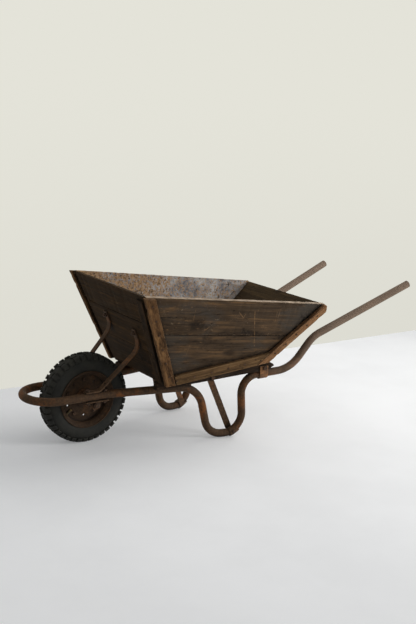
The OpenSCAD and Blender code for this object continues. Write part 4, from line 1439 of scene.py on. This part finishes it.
@dataclass
class Studio:
    """Floor, wall, lights and camera.

    Attributes:
        eye: Place of the camera, in metres.
        yaw: Turn of the view from +Y towards +X, in degrees.
        pitch: Tilt of the view below level, in degrees.
        roll: Lean of the view, in degrees.
        lens: Focal length on a 36 mm high sensor.
        floor_tint: Colour of the floor.
        floor_glow: How strongly the floor glows to the rays that show the background.
        far_tint: The even colour of the floor far from the barrow.
        wall_tint: Colour of the wall.
        wall_left: A point of the wall's foot, in metres.
        wall_right: Another point of it, further to the right.
    """

    eye: tuple[float, float, float] = (-2.28663, -3.1100, 1.2988)
    yaw: float = 35.903
    pitch: float = 11.670
    roll: float = 4.478
    lens: float = 51.64
    floor_tint: Colour = srgb("e3e4e5")
    floor_glow: float = 0.24
    far_tint: Colour = srgb("e3e4e2")
    wall_tint: Colour = srgb("e4e3d9")
    wall_left: tuple[float, float] = (-0.614, 0.768)
    wall_right: tuple[float, float] = (2.568, 1.065)

    def camera(self) -> None:
        """Stands the camera at the view's place and angle."""
        yaw, pitch, roll = (math.radians(a) for a in (self.yaw, self.pitch, self.roll))
        flat = math.cos(pitch)
        ahead = Vector((math.sin(yaw) * flat, math.cos(yaw) * flat, -math.sin(pitch)))
        level = Vector((math.cos(yaw), -math.sin(yaw), 0.0))
        upright = level.cross(ahead)
        right = level * math.cos(roll) + upright * math.sin(roll)
        up = upright * math.cos(roll) - level * math.sin(roll)
        lens = bpy.data.cameras.new("camera")
        lens.sensor_fit = "VERTICAL"
        lens.sensor_height = SENSOR_HEIGHT
        lens.lens = self.lens
        lens.clip_end = VIEW_END
        holder = bpy.data.objects.new("camera", lens)
        turn = Matrix((right, up, -ahead)).transposed()
        holder.matrix_world = Matrix.Translation(Vector(self.eye)) @ turn.to_4x4()
        bpy.context.scene.collection.objects.link(holder)
        bpy.context.scene.camera = holder

    def floor_material(self) -> Material:
        """Pale concrete that takes the shadows, and evens out far from the barrow."""
        made = bpy.data.materials.new("studio floor")
        made.use_nodes = True
        g = Graph(made.node_tree)
        skin = made.node_tree.nodes["Principled BSDF"]
        mottle = g.noise(g.place(), FLOOR_MOTTLE)
        shade = tuple(SHADED * c for c in self.floor_tint)
        g.feed(skin.inputs["Base Color"], g.mix(g.step(mottle, 0.3, 0.7), shade, self.floor_tint))
        g.feed(skin.inputs["Roughness"], g.between(mottle, 0.82, 0.95))
        g.feed(skin.inputs["Emission Color"], self.floor_tint)
        seen = self.background_rays(g)
        g.feed(skin.inputs["Emission Strength"], g.times(seen, self.floor_glow))
        away = g.vector("LENGTH", g.place(), (0.0, 0.0, 0.0)).outputs["Value"]
        even = g.add("Emission", Strength=1.0)
        g.feed(even.inputs["Color"], self.far_tint)
        blend = g.add("MixShader")
        g.feed(blend.inputs[0], g.times(seen, g.step(away, *FLOOR_FADE)))
        g.feed(blend.inputs[1], skin.outputs[0])
        g.feed(blend.inputs[2], even.outputs[0])
        g.feed(made.node_tree.nodes["Material Output"].inputs["Surface"], blend.outputs[0])
        return made

    def background_rays(self, g: Graph) -> Socket:
        """A mask of the rays that show the background: the camera's, reflected and transmitted ones."""
        rays = g.add("LightPath")
        seen = g.math("MAXIMUM", rays.outputs["Is Camera Ray"], rays.outputs["Is Glossy Ray"])
        return g.math("MAXIMUM", seen, rays.outputs["Is Transmission Ray"])

    def wall_material(self) -> Material:
        """A wall that only the camera and reflections see, and only from its front."""
        made = bpy.data.materials.new("studio wall")
        made.use_nodes = True
        tree = made.node_tree
        tree.nodes.remove(tree.nodes["Principled BSDF"])
        g = Graph(tree)
        seen = self.background_rays(g)
        front = g.minus(1.0, g.add("NewGeometry").outputs["Backfacing"])
        glow = g.add("Emission", Strength=1.0)
        # Painted shade: the wall is darker towards its foot.
        rise = g.step(g.axis(g.place(), "Z"), *WALL_RISE)
        shade = tuple(SHADED * c for c in self.wall_tint)
        g.feed(glow.inputs["Color"], g.mix(rise, shade, self.wall_tint))
        blend = g.add("MixShader")
        g.feed(blend.inputs[0], g.times(seen, front))
        g.feed(blend.inputs[1], g.add("BsdfTransparent").outputs[0])
        g.feed(blend.inputs[2], glow.outputs[0])
        g.feed(tree.nodes["Material Output"].inputs["Surface"], blend.outputs[0])
        return made

    def plane(
        self, name: str, size: float, turn: Matrix, place: Vector, finish: Material
    ) -> None:
        """Adds one flat surface of the studio.

        Args:
            name: The object's name.
            size: Half its width, in metres.
            turn: How it is turned.
            place: Its middle.
            finish: Its material.
        """
        mesh = bpy.data.meshes.new(name)
        bm = bmesh.new()
        bmesh.ops.create_grid(bm, x_segments=1, y_segments=1, size=size)
        bmesh.ops.transform(bm, matrix=Matrix.Translation(place) @ turn, verts=bm.verts)
        bm.to_mesh(mesh)
        bm.free()
        made = bpy.data.objects.new(name, mesh)
        made.data.materials.append(finish)
        bpy.context.scene.collection.objects.link(made)

    def build(self) -> None:
        """Sets up the whole studio."""
        scene = bpy.context.scene
        scene.view_settings.view_transform = "Standard"
        self.camera()
        upward = Vector((0.0, 0.0, 1.0))
        self.plane("floor", FLOOR_SIZE, Matrix.Identity(4), upward * -FLOOR_DROP, self.floor_material())
        left, right = (Vector((*spot, 0.0)) for spot in (self.wall_left, self.wall_right))
        along = (right - left).normalized()
        stand = Matrix((along, upward, along.cross(upward))).transposed().to_4x4()
        middle = left + upward * (WALL_SIZE - WALL_SUNK)
        self.plane("wall", WALL_SIZE, stand, middle, self.wall_material())
        for lamp in LAMPS:
            lamp.build()
        world = bpy.data.worlds.new("studio")
        scene.world = world
        world.use_nodes = True
        back = world.node_tree.nodes["Background"]
        g = Graph(world.node_tree)
        seen = self.background_rays(g)
        g.feed(back.inputs["Color"], g.mix(seen, SKY_TINT, self.wall_tint))
        g.feed(back.inputs["Strength"], g.between(seen, SKY_STRENGTH, 1.0))


def main() -> None:
    """Builds the barrow's looks in order and reports each piece."""
    logging.basicConfig(level=logging.INFO, format="%(message)s")
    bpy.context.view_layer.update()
    Studio().build()
    for group in (TubeFrame(), Wheel()):
        group.dress()
    Tray().build()


if __name__ == "__main__":
    main()
